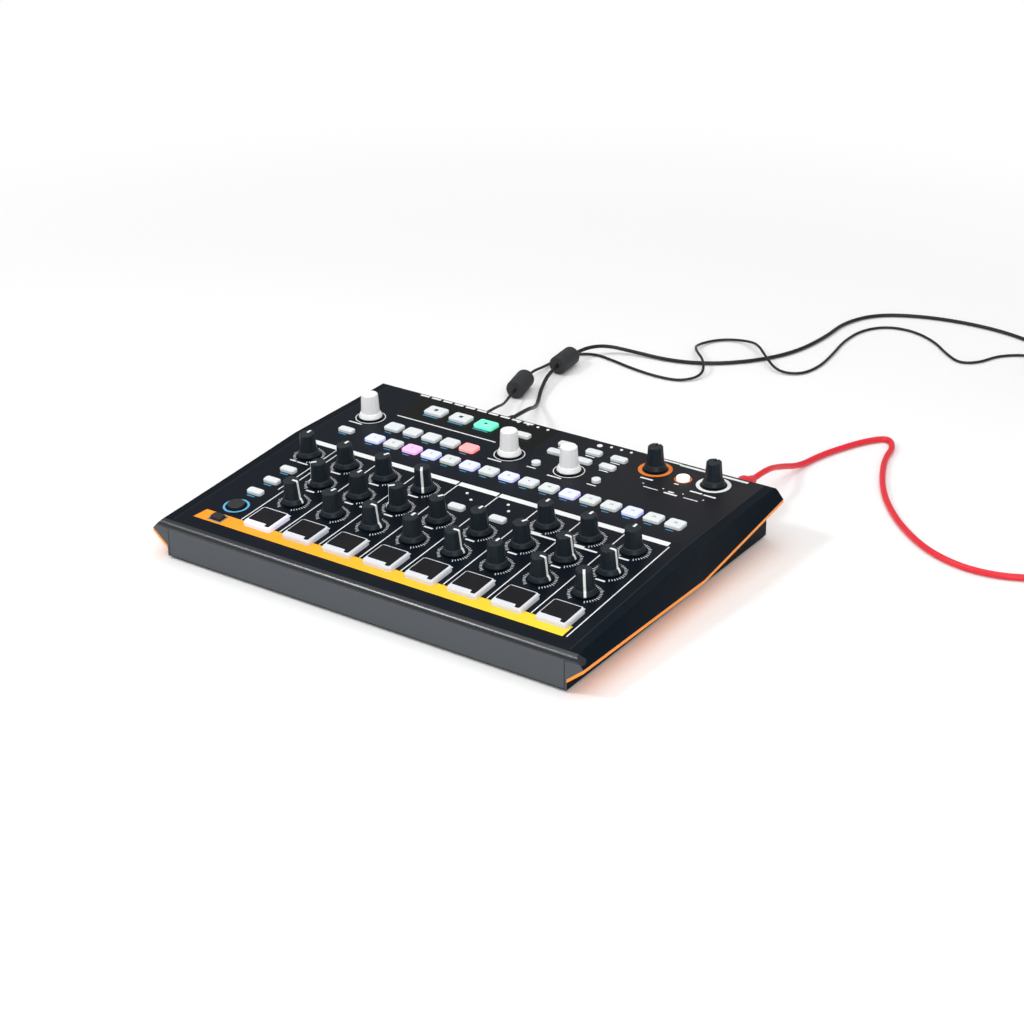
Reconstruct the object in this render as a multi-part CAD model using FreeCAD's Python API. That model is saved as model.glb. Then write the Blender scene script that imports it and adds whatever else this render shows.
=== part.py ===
"""Desktop drum machine with dials, pads and buttons, as separate pieces in millimetres.

Origin: centre of the footprint on the surface that the feet stand on.
+X runs right along the front edge, +Y to the back, +Z up.
Places on the panel are given as (x, distance from the front edge).
"""
import FreeCAD, Part
import math
import os

Vector = FreeCAD.Vector

# Case
DEPTH = 227.0
PANEL_HALF = 145.3
CHEEK_BASE = 1.5
CHEEK_RIDGE = 6.7
CHEEK_TIP = 12.5
BASE_HALF = PANEL_HALF + CHEEK_BASE
RIDGE_HALF = PANEL_HALF + CHEEK_RIDGE
TIP_HALF = PANEL_HALF + CHEEK_TIP
# The rows and columns below are laid out on a panel of this size, and spread with the panel.
LAYOUT_DEPTH = 227.0
LAYOUT_HALF = 145.3
DEPTH_SHARE = DEPTH / LAYOUT_DEPTH
WIDTH_SHARE = PANEL_HALF / LAYOUT_HALF
SHEET = 1.5
FOOT_HEIGHT = 1.5
FRONT_HEIGHT = 22.3
KINK_AT = 131.0 * DEPTH_SHARE
KINK_HEIGHT = 32.7
REAR_HEIGHT = 34.5
FRONT_BEND = 4.5
REAR_BEND = 1.9
REAR_LIP = 5.0
TIP_FRONT = 16.2
TIP_KINK = 13.9
TIP_REAR = 27.6
TIP_DROP = 9.2
LINER_THICK = 2.2
REAR_WALL = 1.5
SEAT_GAP = 0.3

# Dial and button layout on the panel
COLUMN_PITCH = 30.6 * WIDTH_SHARE
COLUMN_FIRST = -93.0 * WIDTH_SHARE
SIDE_COLUMN = -123.6 * WIDTH_SHARE
PAD_ROW = 31.4 * DEPTH_SHARE
LEVEL_ROW = 58.2 * DEPTH_SHARE
TONE_ROW = 84.4 * DEPTH_SHARE
DECAY_ROW = 110.6 * DEPTH_SHARE
STEP_ROW = 149.8 * DEPTH_SHARE
MODE_ROW = 170.6 * DEPTH_SHARE
TRANSPORT_ROW = 205.4 * DEPTH_SHARE
STEP_FIRST = -100.2 * WIDTH_SHARE
STEP_PITCH = 15.1 * WIDTH_SHARE
TRANSPORT_FIRST = -91.6 * WIDTH_SHARE
TRANSPORT_PITCH = 20.3 * WIDTH_SHARE
PAD_SHIFT = 0.8

# Dials
SKIRT_R = 7.3
SKIRT_EDGE = 1.0
SKIRT_RISE = 3.0
BARREL_LOW_R = 5.9
BARREL_TOP_R = 4.9
BARREL_SIDES = 12
KNOB_TALL = 15.4
KNOB_GAP = 0.8
WHITE_SKIRT_R = 7.8
WHITE_LOW_R = 6.4
WHITE_TOP_R = 5.6
WHITE_TALL = 16.4
NOTCH_WIDTH = 1.4
NOTCH_DEEP = 0.8
SPINDLE_R = 2.5
SPINDLE_RUN = 0.05
SPINDLE_GRIP = 0.02
SPINDLE_TOP = 11.0
SPINDLE_DEEP = 6.0
BUSH_R = 3.5
BUSH_PROUD = 1.4
BUSH_HOLE_GAP = 0.2
BUSH_RECESS_R = 4.3
BUSH_RECESS = 1.4
POT_WIDTH = 10.0
POT_DEEP = 11.4
POT_TALL = 6.5

# Boards and switches, depths below the panel's outer face
BOARD_THICK = 1.6
BOARD_MARGIN = 5.0
BOARD_SPLIT_GAP = 4.0
REAR_BOARD_DEEP = 17.0
REAR_BOARD_MARGIN = 14.0
REAR_BOARD_GAP = 0.5
BOARD_REAR_STOP = 20.0
POT_BACK = 1.0
SWITCH_SIDE = 6.0
BUTTON_TRAVEL = 0.7
PAD_TRAVEL = 0.8
SWITCH_REST = 0.15
FLANGE = 0.8
FLANGE_THICK = 1.0
CAP_GAP = 0.35
CAP_PROUD = 2.0
STEM_R = 2.0
CAP_ROUND = 1.6

# Button faces: width, depth
STEP_CAP = (11.4, 9.6)
TRANSPORT_CAP = (14.4, 10.6)
OBLONG_CAP = (11.2, 5.6)
PAD_SIDE = 21.0
PAD_PROUD = 3.0
PAD_ROUND = 2.0
PAD_STEM = 12.0
ROUND_CAP_R = 3.0
LIT_CAP_R = 4.3
TAP_CAP_R = 5.6
SLOT_CAP = (8.4, 6.0)

# Lamps
LAMP_R = 1.1
LAMP_PROUD = 0.4
BEAT_LAMP_R = 2.0

# Rear sockets and switch
SOCKET_LEVEL = 17.5
SOCKET_BODY = (10.0, 14.0, 11.0)
JACK_SMALL_R = 1.8
JACK_LARGE_R = 3.25
JACK_DEEP = 12.0
NUT_PROUD = 1.2
NUT_R = 4.0
LARGE_NUT_R = 6.6
SMALL_JACKS = tuple(x * WIDTH_SHARE for x in (-24.0, -8.0, 8.0, 24.0, 44.0, 60.0, 78.0, 94.0))
AUDIO_OUT_AT = 118.0 * WIDTH_SHARE
USB_AT = -66.0 * WIDTH_SHARE
POWER_IN_AT = -86.0 * WIDTH_SHARE
SWITCH_AT = -112.0 * WIDTH_SHARE
ROCKER = (13.0, 8.2)
ROCKER_GAP = 0.3
ROCKER_RIM = 3.0
ROCKER_WELL = 9.5
ROCKER_FRAME = 13.0
ROCKER_PIN_R = 1.0
ROCKER_PIN_DEEP = 4.5
ROCKER_CROWN = 3.4
USB_SHELL = (12.0, 10.6)
USB_MOUTH = (8.6, 7.8)
USB_DEEP = 9.0
USB_BODY = 15.5
TONGUE_HALF = (2.6, 1.5)
SOCKET_FIT = 0.1
DC_R = 5.0
DC_MOUTH_R = 3.2
DC_DEEP = 9.5
DC_PIN_R = 1.0
DC_BODY = 14.5

# Feet and screws
FOOT_R = 7.0
FOOT_SINK = 0.8
FOOT_INSET = (16.0, 14.0)
SCREW_R = 1.5
SCREW_HEAD_R = 2.8
SCREW_HEAD = 1.2
SCREW_IN = 25.3
SCREW_FRONT = 8.0
SCREW_REAR = 13.0
SCREW_SPOTS = tuple((x, distance) for x in (SCREW_IN - PANEL_HALF, 0.0, PANEL_HALF - SCREW_IN)
                    for distance in (SCREW_FRONT, DEPTH - SCREW_REAR))
POST_R = 4.0
SCREW_RUN = 4.0
SCREW_SLOT = (0.4, 2.0, 0.6)
FOOT_FROM_EDGE = 8.0
FOOT_ROUND = 0.5
EAR_HALF = 8.0
EAR_ABOVE_SCREW = 5.0
CHEEK_SCREW_LEVEL = 18.5
CHEEK_ABOVE = 3.0
CHEEK_SCREW_AT = (40.0 * DEPTH_SHARE, 190.0 * DEPTH_SHARE)
CHEEK_SCREW_LONG = 9.0

# Leads: diameters, plug and core sizes, then routes as x, distance behind the case, height
AUDIO_DIA = 4.0
USB_DIA = 2.8
POWER_DIA = 2.0
AUDIO_SHELL = (6.4, 26.0)
AUDIO_BOOT_R = 5.6
AUDIO_NECK_R = 3.0
USB_CORE_HALF = (4.1, 3.7)
USB_CORE_BORE = (2.9, 1.8)
USB_GRIP_HALF = (6.0, 5.0)
USB_GRIP = (1.5, 18.0)
USB_GRIP_ROUND = 1.2
USB_BOOT_R = 4.2
BOOT_WALL = 0.5
POWER_SHELL = (5.0, 1.0, 16.0)
POWER_BARREL_BORE = 1.3
POWER_BOOT_R = 4.0
FAR_JACK = (6.4, 30.0, 3.15, 32.0)
FAR_USB_GRIP = (20.0, 15.0, 0.2, 8.2)
FAR_USB_TIP = (32.0, 1.5, 13.5, 2.0, 6.4)
ADAPTER = (30.0, 22.0, 0.2, 26.2)
ADAPTER_ROUND = 3.0
ADAPTER_PIN = (2.0, 17.0, 16.0, 6.0)
FLOOR_GAP = 0.1
FERRITE_R = 7.0
FERRITE_LONG = 24.0
FERRITE_GAP = 0.2
FERRITE_ROUND = 1.6
BEND_SHARE = 0.45
COIL_PACKING = 0.92
COIL_ROUND = 0.4
COIL_GAP = 0.3
AUDIO_ROUTE = (
    (118.0, 35.0, 19.0), (118.0, 53.0, 19.0), (116.0, 77.0, 11.0), (117.0, 101.0, 2.1),
    (121.0, 125.0, 2.1), (129.0, 147.0, 2.1), (137.0, 164.0, 2.1), (147.0, 175.0, 2.1),
    (156.0, 163.0, 2.1), (159.0, 144.0, 2.1), (168.0, 121.0, 2.1), (179.0, 99.0, 2.1),
    (194.0, 77.0, 2.1), (214.0, 55.0, 2.1), (238.0, 36.0, 2.1), (264.0, 26.0, 2.1),
    (289.0, 27.0, 2.1), (310.0, 37.0, 2.1), (328.0, 51.0, 2.1),
)
USB_ROUTE = (
    (-66.0, 31.0, 19.0), (-66.0, 49.0, 19.0), (-75.0, 71.0, 10.0), (-88.0, 94.0, 2.4),
    (-99.0, 115.0, 4.6), (-107.0, 139.0, 7.1), (-112.0, 183.0, 7.1), (-103.0, 203.0, 7.1),
    (-82.0, 214.0, 2.2), (-52.0, 215.0, 1.5), (-24.0, 225.0, 1.5), (2.0, 249.0, 1.5),
    (19.0, 281.0, 1.5), (24.0, 321.0, 1.5), (22.0, 355.0, 1.5), (34.0, 384.0, 1.5),
    (62.0, 400.0, 1.5), (98.0, 407.0, 1.5), (133.0, 405.0, 1.5), (158.0, 397.0, 1.5),
    (178.0, 407.0, 1.5),
)
POWER_ROUTE = (
    (-86.0, 25.0, 19.0), (-86.0, 41.0, 19.0), (-95.0, 61.0, 11.0), (-105.0, 83.0, 7.1),
    (-118.0, 129.0, 7.1), (-122.0, 150.0, 2.4), (-123.0, 170.0, 1.1), (-119.0, 187.0, 1.1),
    (-106.0, 197.0, 1.1), (-87.0, 193.0, 1.1), (-65.0, 187.0, 1.1), (-42.0, 184.0, 1.1),
    (-24.0, 187.0, 1.1), (-15.0, 201.0, 2.6), (-23.0, 217.0, 7.0), (-40.0, 233.0, 7.0),
    (-50.0, 253.0, 2.0), (-42.0, 274.0, 1.1), (-24.0, 280.0, 2.0), (-6.0, 268.0, 7.0),
    (10.0, 250.0, 7.0), (26.0, 239.0, 2.0), (42.0, 245.0, 1.1), (47.0, 265.0, 1.1),
    (44.0, 293.0, 1.1), (39.0, 321.0, 1.1), (40.0, 349.0, 1.1), (52.0, 367.0, 1.1),
    (73.0, 370.0, 1.1), (96.0, 359.0, 1.1), (115.0, 340.0, 1.1), (130.0, 329.0, 1.1),
    (142.0, 338.0, 1.1), (148.0, 357.0, 1.1), (162.0, 369.0, 1.1), (180.0, 361.0, 1.1),
)
# Coils: middle radius, turns across, layers
AUDIO_COIL = (33.0, 3, 4)
USB_COIL = (26.0, 2, 4)
POWER_COIL = (18.0, 3, 4)


def save(name, *solids):
    """Write one node: one solid, or a group of separate solids."""
    shape = solids[0] if len(solids) == 1 else Part.makeCompound(list(solids))
    shape.exportStep("parts/%s.step" % name)
    print("%-22s solids %3d volume %10.1f" % (name, len(shape.Solids), shape.Volume))


def box(x0, x1, y0, y1, z0, z1):
    return Part.makeBox(x1 - x0, y1 - y0, z1 - z0, Vector(x0, y0, z0))


def rod(radius, z0, z1, x=0.0, y=0.0):
    return Part.makeCylinder(radius, z1 - z0, Vector(x, y, z0))


def rear_rod(radius, x, level, y0, y1):
    return Part.makeCylinder(radius, y1 - y0, Vector(x, y0, level), Vector(0, 1, 0))


def behind(distance):
    """Row-frame y of a distance from the front edge."""
    return distance - DEPTH / 2


def rounded_block(width, depth, z0, z1, corner, draft=0.0):
    """Upright block centred on the axis, with round corners and an optional draft."""
    def outline(inset, z):
        w = width / 2 - inset
        d = depth / 2 - inset
        c = min(corner, d - 0.1, w - 0.1)
        k = c * (1 - math.sqrt(0.5))
        sides = []
        corners = ((w, d, 1, 1), (-w, d, -1, 1), (-w, -d, -1, -1), (w, -d, 1, -1))
        ends = []
        for px, py, sx, sy in corners:
            a = Vector(px, py - sy * c, z)
            b = Vector(px - sx * c, py, z)
            middle = Vector(px - sx * k, py - sy * k, z)
            if sx * sy < 0:
                a, b = b, a
            ends.append((a, b))
            sides.append(Part.Arc(a, middle, b).toShape())
        for i in range(4):
            sides.append(Part.LineSegment(ends[i][1], ends[(i + 1) % 4][0]).toShape())
        return Part.Wire(Part.__sortEdges__(sides))
    if draft == 0.0:
        return Part.Face(outline(0.0, z0)).extrude(Vector(0, 0, z1 - z0))
    return Part.makeLoft([outline(0.0, z0), outline(draft, z1)], True, True)


# Panel surface

FRONT_SLOPE = (KINK_HEIGHT - FRONT_HEIGHT) / KINK_AT
REAR_SLOPE = (REAR_HEIGHT - KINK_HEIGHT) / (DEPTH - KINK_AT)


def panel_height(distance):
    """Height of the panel's outer face above the surface the feet stand on."""
    if distance < KINK_AT:
        return FOOT_HEIGHT + FRONT_HEIGHT + FRONT_SLOPE * distance
    return FOOT_HEIGHT + KINK_HEIGHT + REAR_SLOPE * (distance - KINK_AT)


def spot(x, distance):
    """Placement whose origin lies on the panel and whose z axis stands square to it."""
    slope = FRONT_SLOPE if distance < KINK_AT else REAR_SLOPE
    tilt = FreeCAD.Rotation(Vector(1, 0, 0), math.degrees(math.atan(slope)))
    return FreeCAD.Placement(Vector(x, behind(distance), panel_height(distance)), tilt)


def at(shape, x, distance, turn=0.0):
    """Copy of a shape moved to its spot on the panel, turned clockwise seen from above."""
    moved = shape.copy()
    spin = FreeCAD.Placement(Vector(0, 0, 0), FreeCAD.Rotation(Vector(0, 0, 1), -turn))
    moved.Placement = spot(x, distance).multiply(spin).multiply(moved.Placement)
    return moved


# Where each control sits: name, x, distance, pointer angle clockwise from the back

def column(index):
    return COLUMN_FIRST + COLUMN_PITCH * index


LEVEL_TURNS = (90, 10, 92, 5, 88, 0, 95, 147)
TONE_TURNS = (-135, 8, -133, 30, 4, 28, 90, 92)
DECAY_TURNS = {0: 0, 1: 28, 2: 147, 5: 0, 6: 4, 7: -2}

BLACK_DIALS = []
for index, turn in enumerate(LEVEL_TURNS):
    BLACK_DIALS.append(("level_knob_%d" % (index + 1), column(index), LEVEL_ROW, turn))
for index, turn in enumerate(TONE_TURNS):
    BLACK_DIALS.append(("tone_knob_%d" % (index + 1), column(index), TONE_ROW, turn))
for index, turn in DECAY_TURNS.items():
    BLACK_DIALS.append(("decay_knob_%d" % (index + 1), column(index), DECAY_ROW, turn))
BLACK_DIALS.append(("side_knob", SIDE_COLUMN, DECAY_ROW, -2))


def scaled(x, distance):
    """Place on the panel kept at its share of the panel's width and depth."""
    return x * WIDTH_SHARE, distance * DEPTH_SHARE


NOTCHED_DIALS = (("drive_knob", *scaled(76.4, 209.0), 0), ("volume_knob", *scaled(118.4, 209.0), 0))
WHITE_DIALS = (("tempo_encoder", *scaled(-124.6, 176.4), 0),
               ("select_encoder", *scaled(-13.9, 178.4), 0),
               ("value_encoder", *scaled(31.6, 178.4), 0))
ALL_DIALS = tuple(BLACK_DIALS) + NOTCHED_DIALS + WHITE_DIALS

STEP_SPOTS = [(STEP_FIRST + STEP_PITCH * i, STEP_ROW) for i in range(16)]
MODE_SPOTS = [(STEP_FIRST + STEP_PITCH * i, MODE_ROW) for i in range(5)]
TRANSPORT_SPOTS = [(TRANSPORT_FIRST + TRANSPORT_PITCH * i, TRANSPORT_ROW) for i in range(3)]
OBLONG_SPOTS = [scaled(x, distance) for x, distance in (
    (-124.6, 150.8), (-21.9, 205.4), (10.4, 208.2), (10.2, 195.6), (31.6, 207.8),
    (50.6, 207.6), (50.2, 194.4), (32.6, 193.8), (-122.2, 88.4), (-122.2, 72.2),
    (-122.2, 56.2), (0.0, 101.6), (30.6, 101.6))]
ROUND_SPOTS = [scaled(8.6, 175.6), scaled(54.2, 174.8)]
LIT_SPOT = scaled(98.4, 206.0)
TAP_SPOT = scaled(-122.0, 37.4)
SLOT_SPOT = scaled(-122.2, 20.4)
PAD_SPOTS = [(column(i) + PAD_SHIFT, PAD_ROW) for i in range(8)]
LAMP_SPOTS = [scaled(x, distance) for x, distance in (
    (-36.8, 222.0), (-29.0, 222.0), (-21.2, 222.0), (-13.4, 222.0), (36.0, 221.6),
    (43.6, 221.6), (51.0, 221.6), (-5.0, 119.6), (1.8, 114.0), (25.6, 120.0), (30.2, 113.6))]
BEAT_SPOT = scaled(28.4, 219.6)

BOARD_TOP = -SHEET - POT_TALL
SWITCH_TALL = -(SHEET + CAP_GAP + FLANGE_THICK) - BOARD_TOP - 1.2


# Case pieces

def side_profile(inset, x0, x1, low, rear):
    """Body of the case's side outline, inset by a wall, from x0 to x1."""
    front_drop = inset * math.sqrt(1 + FRONT_SLOPE ** 2)
    rear_drop = inset * math.sqrt(1 + REAR_SLOPE ** 2)
    front_top = FRONT_HEIGHT + FOOT_HEIGHT - front_drop
    rear_base = KINK_HEIGHT + FOOT_HEIGHT - rear_drop
    kink = (rear_base - front_top - REAR_SLOPE * KINK_AT) / (FRONT_SLOPE - REAR_SLOPE)
    kink_z = front_top + FRONT_SLOPE * kink
    rear_z = rear_base + REAR_SLOPE * (rear - KINK_AT)
    points = [(inset, low), (inset, front_top + FRONT_SLOPE * inset), (kink, kink_z),
              (rear, rear_z), (rear, low)]
    wire = Part.makePolygon([Vector(x0, behind(d), z) for d, z in points + points[:1]])
    body = Part.Face(wire).extrude(Vector(x1 - x0, 0, 0))
    front = points[1]
    back = points[3]
    for (d, z), radius in ((front, FRONT_BEND - inset), (back, max(REAR_BEND - inset, 0.3))):
        edges = [e for e in body.Edges if abs(e.CenterOfMass.y - behind(d)) < 0.01
                 and abs(e.CenterOfMass.z - z) < 0.01]
        body = body.makeFillet(radius, edges)
    return body


def hole(cutter_list):
    return Part.makeCompound(cutter_list)


def through(radius):
    return rod(radius, -SHEET - 1.0, 1.0)


def cap_hole(width, depth, corner):
    return rounded_block(width + 2 * CAP_GAP, depth + 2 * CAP_GAP, -SHEET - 1.0, 1.0,
                         corner + CAP_GAP)


def make_top_panel():
    outer = side_profile(0.0, -PANEL_HALF, PANEL_HALF, FOOT_HEIGHT, DEPTH)
    inner = side_profile(SHEET, -PANEL_HALF - 1, PANEL_HALF + 1, FOOT_HEIGHT - 1, DEPTH - SHEET)
    rear_open = box(-PANEL_HALF - 1, PANEL_HALF + 1, behind(DEPTH - SHEET - 1), behind(DEPTH + 1),
                    0.0, FOOT_HEIGHT + REAR_HEIGHT - REAR_LIP)
    shell = outer.cut(inner).cut(rear_open)
    cuts = []
    for _, x, distance, _ in ALL_DIALS:
        cuts.append(at(through(BUSH_R + BUSH_HOLE_GAP), x, distance))
    for x, distance in STEP_SPOTS + MODE_SPOTS:
        cuts.append(at(cap_hole(STEP_CAP[0], STEP_CAP[1], CAP_ROUND), x, distance))
    for x, distance in TRANSPORT_SPOTS:
        cuts.append(at(cap_hole(TRANSPORT_CAP[0], TRANSPORT_CAP[1], CAP_ROUND), x, distance))
    for x, distance in OBLONG_SPOTS:
        cuts.append(at(cap_hole(OBLONG_CAP[0], OBLONG_CAP[1], CAP_ROUND), x, distance))
    for x, distance in PAD_SPOTS:
        cuts.append(at(cap_hole(PAD_SIDE, PAD_SIDE, PAD_ROUND), x, distance))
    for x, distance in ROUND_SPOTS:
        cuts.append(at(through(ROUND_CAP_R + CAP_GAP), x, distance))
    cuts.append(at(through(LIT_CAP_R + CAP_GAP), *LIT_SPOT))
    cuts.append(at(through(TAP_CAP_R + CAP_GAP), *TAP_SPOT))
    cuts.append(at(cap_hole(SLOT_CAP[0], SLOT_CAP[1], CAP_ROUND), *SLOT_SPOT))
    for x, distance in LAMP_SPOTS:
        cuts.append(at(through(LAMP_R), x, distance))
    cuts.append(at(through(BEAT_LAMP_R), *BEAT_SPOT))
    return shell.cut(hole(cuts))


def cheek_section(distance, tip, ridge, reach):
    """Wedge outline of the right cheek at one distance from the front."""
    inner = tip - TIP_DROP
    slope_x = (RIDGE_HALF - TIP_HALF) / (ridge - tip)
    top_z = ridge + reach
    points = [(PANEL_HALF, FOOT_HEIGHT), (BASE_HALF, FOOT_HEIGHT), (BASE_HALF, inner),
              (TIP_HALF, tip), (TIP_HALF + slope_x * (top_z - tip), top_z), (PANEL_HALF, top_z)]
    place = [Vector(x, behind(distance), z) for x, z in points]
    return Part.makePolygon(place + place[:1])


def liner_section(distance, tip):
    inner = tip - TIP_DROP
    points = [(BASE_HALF, inner), (TIP_HALF, tip), (TIP_HALF, tip - LINER_THICK),
              (BASE_HALF, inner - LINER_THICK)]
    place = [Vector(x, behind(distance), z) for x, z in points]
    return Part.makePolygon(place + place[:1])


CHEEK_STATIONS = ((0.0, TIP_FRONT + FOOT_HEIGHT, FRONT_HEIGHT + FOOT_HEIGHT),
                  (KINK_AT, TIP_KINK + FOOT_HEIGHT, KINK_HEIGHT + FOOT_HEIGHT),
                  (DEPTH, TIP_REAR + FOOT_HEIGHT, REAR_HEIGHT + FOOT_HEIGHT))


def make_cheek():
    """Right end cheek: the case's side outline cut to the wedge section."""
    wedge = None
    for (d0, tip0, ridge0), (d1, tip1, ridge1) in zip(CHEEK_STATIONS, CHEEK_STATIONS[1:]):
        span = Part.makeLoft([cheek_section(d0, tip0, ridge0, CHEEK_ABOVE),
                              cheek_section(d1, tip1, ridge1, CHEEK_ABOVE)], True, True)
        wedge = span if wedge is None else wedge.fuse(span)
    outline = side_profile(0.0, PANEL_HALF, TIP_HALF + 1, FOOT_HEIGHT, DEPTH)
    cheek = outline.common(wedge.removeSplitter())
    for distance in CHEEK_SCREW_AT:
        start = Vector(PANEL_HALF - 1, behind(distance), cheek_screw_level())
        cheek = cheek.cut(Part.makeCylinder(SCREW_R, CHEEK_SCREW_LONG - 3, start, Vector(1, 0, 0)))
    return cheek.Solids[0]


def make_liner():
    spans = []
    for (d0, tip0, _), (d1, tip1, _) in zip(CHEEK_STATIONS, CHEEK_STATIONS[1:]):
        spans.append(Part.makeLoft([liner_section(d0, tip0), liner_section(d1, tip1)], True, True))
    return spans[0].fuse(spans[1]).removeSplitter().Solids[0]


def mirrored(shape):
    return shape.mirror(Vector(0, 0, 0), Vector(1, 0, 0))


def cheek_screw_level():
    return FOOT_HEIGHT + CHEEK_SCREW_LEVEL


def socket_level():
    return FOOT_HEIGHT + SOCKET_LEVEL


def wall_face():
    """Row-frame y of the rear wall's outer face."""
    return behind(DEPTH - SHEET)


def make_base_tray():
    """Bottom plate with the rear wall, side flanges and screw posts in one piece."""
    top = FOOT_HEIGHT + SHEET
    plate = box(-PANEL_HALF, PANEL_HALF, behind(SHEET), wall_face(), FOOT_HEIGHT, top)
    wall_top = panel_height(DEPTH - SHEET - REAR_WALL) - 2 * SHEET + SEAT_GAP
    wall = box(-PANEL_HALF, PANEL_HALF, wall_face() - REAR_WALL, wall_face(), FOOT_HEIGHT, wall_top)
    tray = plate.fuse(wall)
    flange_top = cheek_screw_level() + EAR_ABOVE_SCREW
    for side in (-1, 1):
        x = side * (PANEL_HALF - SHEET / 2)
        for distance in CHEEK_SCREW_AT:
            y = behind(distance)
            ear_top = min(flange_top, panel_height(distance - EAR_HALF) - SHEET - SEAT_GAP)
            ear = box(x - SHEET / 2, x + SHEET / 2, y - EAR_HALF, y + EAR_HALF, FOOT_HEIGHT,
                      ear_top)
            bore = Part.makeCylinder(SCREW_R, 6, Vector(x - 3, y, cheek_screw_level()),
                                     Vector(1, 0, 0))
            tray = tray.fuse(ear).cut(bore)
    cuts = []
    for x, distance in SCREW_SPOTS:
        cuts.append(rod(SCREW_R, FOOT_HEIGHT - 1, top + 1, x, behind(distance)))
    for x, distance in foot_spots():
        cuts.append(rod(FOOT_R, FOOT_HEIGHT - 1, FOOT_HEIGHT + FOOT_SINK, x, behind(distance)))
    y0 = wall_face() - REAR_WALL - 1
    y1 = wall_face() + 1
    for x in SMALL_JACKS:
        cuts.append(rear_rod(NUT_R - 1.0, x, socket_level(), y0, y1))
    cuts.append(rear_rod(LARGE_NUT_R - 1.6, AUDIO_OUT_AT, socket_level(), y0, y1))
    cuts.append(rear_rod(DC_R, POWER_IN_AT, socket_level(), y0, y1))
    for x, size in ((USB_AT, USB_SHELL), (SWITCH_AT, (ROCKER[0] + ROCKER_RIM, ROCKER[1] + ROCKER_RIM))):
        cuts.append(box(x - size[0] / 2, x + size[0] / 2, y0, y1, socket_level() - size[1] / 2,
                        socket_level() + size[1] / 2))
    tray = tray.cut(hole(cuts))
    for post in make_posts():
        tray = tray.fuse(post)
    return tray.removeSplitter()


def foot_spots():
    x = PANEL_HALF - FOOT_INSET[0]
    near = FOOT_INSET[1] + FOOT_FROM_EDGE
    return [(side * x, d) for side in (-1, 1) for d in (near, DEPTH - near)]


def make_feet():
    feet = []
    for x, distance in foot_spots():
        foot = rod(FOOT_R, 0.0, FOOT_HEIGHT + FOOT_SINK, x, behind(distance))
        low = [e for e in foot.Edges if abs(e.CenterOfMass.z) < 0.01 and len(e.Vertexes) == 1]
        feet.append(foot.makeFillet(FOOT_ROUND, low))
    return feet


def make_posts():
    """Posts under the boards that the bottom screws enter."""
    posts = []
    rear_board_low = socket_level() - SOCKET_BODY[2] / 2 - BOARD_THICK
    reach = 5 * POST_R
    for x, distance in SCREW_SPOTS:
        under_panel_board = distance < DEPTH - REAR_BOARD_DEEP
        top = spot(x, distance).Base.z + BOARD_TOP - BOARD_THICK
        low = FOOT_HEIGHT + SHEET
        top = top + 0.6 if under_panel_board else rear_board_low
        post = rod(POST_R, low - SHEET / 2, top, x, behind(distance))
        half = Part.makeBox(2 * reach, 2 * reach, reach, Vector(-reach, -reach, BOARD_TOP - BOARD_THICK))
        post = post.cut(at(half, x, distance))
        posts.append(post.cut(rod(SCREW_R, low - SHEET, low + 4.6, x, behind(distance))))
    return posts


def make_screws():
    screws = []
    for x, distance in SCREW_SPOTS:
        head = rod(SCREW_HEAD_R, FOOT_HEIGHT - SCREW_HEAD, FOOT_HEIGHT, x, behind(distance))
        shank = rod(SCREW_R, FOOT_HEIGHT, FOOT_HEIGHT + SHEET + SCREW_RUN, x, behind(distance))
        half_wide, half_long, deep = SCREW_SLOT
        y = behind(distance)
        slot = box(x - half_wide, x + half_wide, y - half_long, y + half_long,
                   FOOT_HEIGHT - SCREW_HEAD - 1, FOOT_HEIGHT - SCREW_HEAD + deep)
        screws.append(head.fuse(shank).cut(slot).removeSplitter())
    for side in (-1, 1):
        for distance in CHEEK_SCREW_AT:
            place = Vector(side * (PANEL_HALF - SHEET), behind(distance), cheek_screw_level())
            inward = Vector(-side, 0, 0)
            head = Part.makeCylinder(SCREW_HEAD_R, SCREW_HEAD, place, inward)
            shank = Part.makeCylinder(SCREW_R, CHEEK_SCREW_LONG - 4, place, Vector(side, 0, 0))
            screws.append(head.fuse(shank).removeSplitter())
    return screws


def make_boards():
    """Front and rear control boards, each parallel to its panel facet."""
    boards = []
    spans = ((BOARD_MARGIN, KINK_AT - BOARD_SPLIT_GAP),
             (KINK_AT + BOARD_SPLIT_GAP, DEPTH - BOARD_REAR_STOP))
    for near, far in spans:
        middle = (near + far) / 2
        half = (far - near) / 2
        slab = box(-PANEL_HALF + BOARD_MARGIN, PANEL_HALF - BOARD_MARGIN, -half, half,
                   BOARD_TOP - BOARD_THICK, BOARD_TOP)
        boards.append(at(slab, 0.0, middle))
    return boards


def make_rear_board():
    """Small board on the bottom plate's posts that carries the rear sockets."""
    level = socket_level() - SOCKET_BODY[2] / 2
    y1 = wall_face() - REAR_WALL - REAR_BOARD_GAP
    half = PANEL_HALF - REAR_BOARD_MARGIN
    return box(-half, half, y1 - REAR_BOARD_DEEP, y1, level - BOARD_THICK, level)


def make_pots():
    """Potentiometer bodies with threaded bushes, one under each dial."""
    body = box(-POT_WIDTH / 2, POT_WIDTH / 2, -POT_DEEP / 2 - POT_BACK, POT_DEEP / 2 - POT_BACK,
               BOARD_TOP, -SHEET)
    pot = body.fuse(rod(BUSH_R, -SHEET, BUSH_PROUD))
    pot = pot.cut(rod(SPINDLE_R + SPINDLE_RUN, -SPINDLE_DEEP - 0.2, BUSH_PROUD + 1))
    return [at(pot.removeSplitter(), x, distance) for _, x, distance, _ in ALL_DIALS]


# Dials

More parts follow.
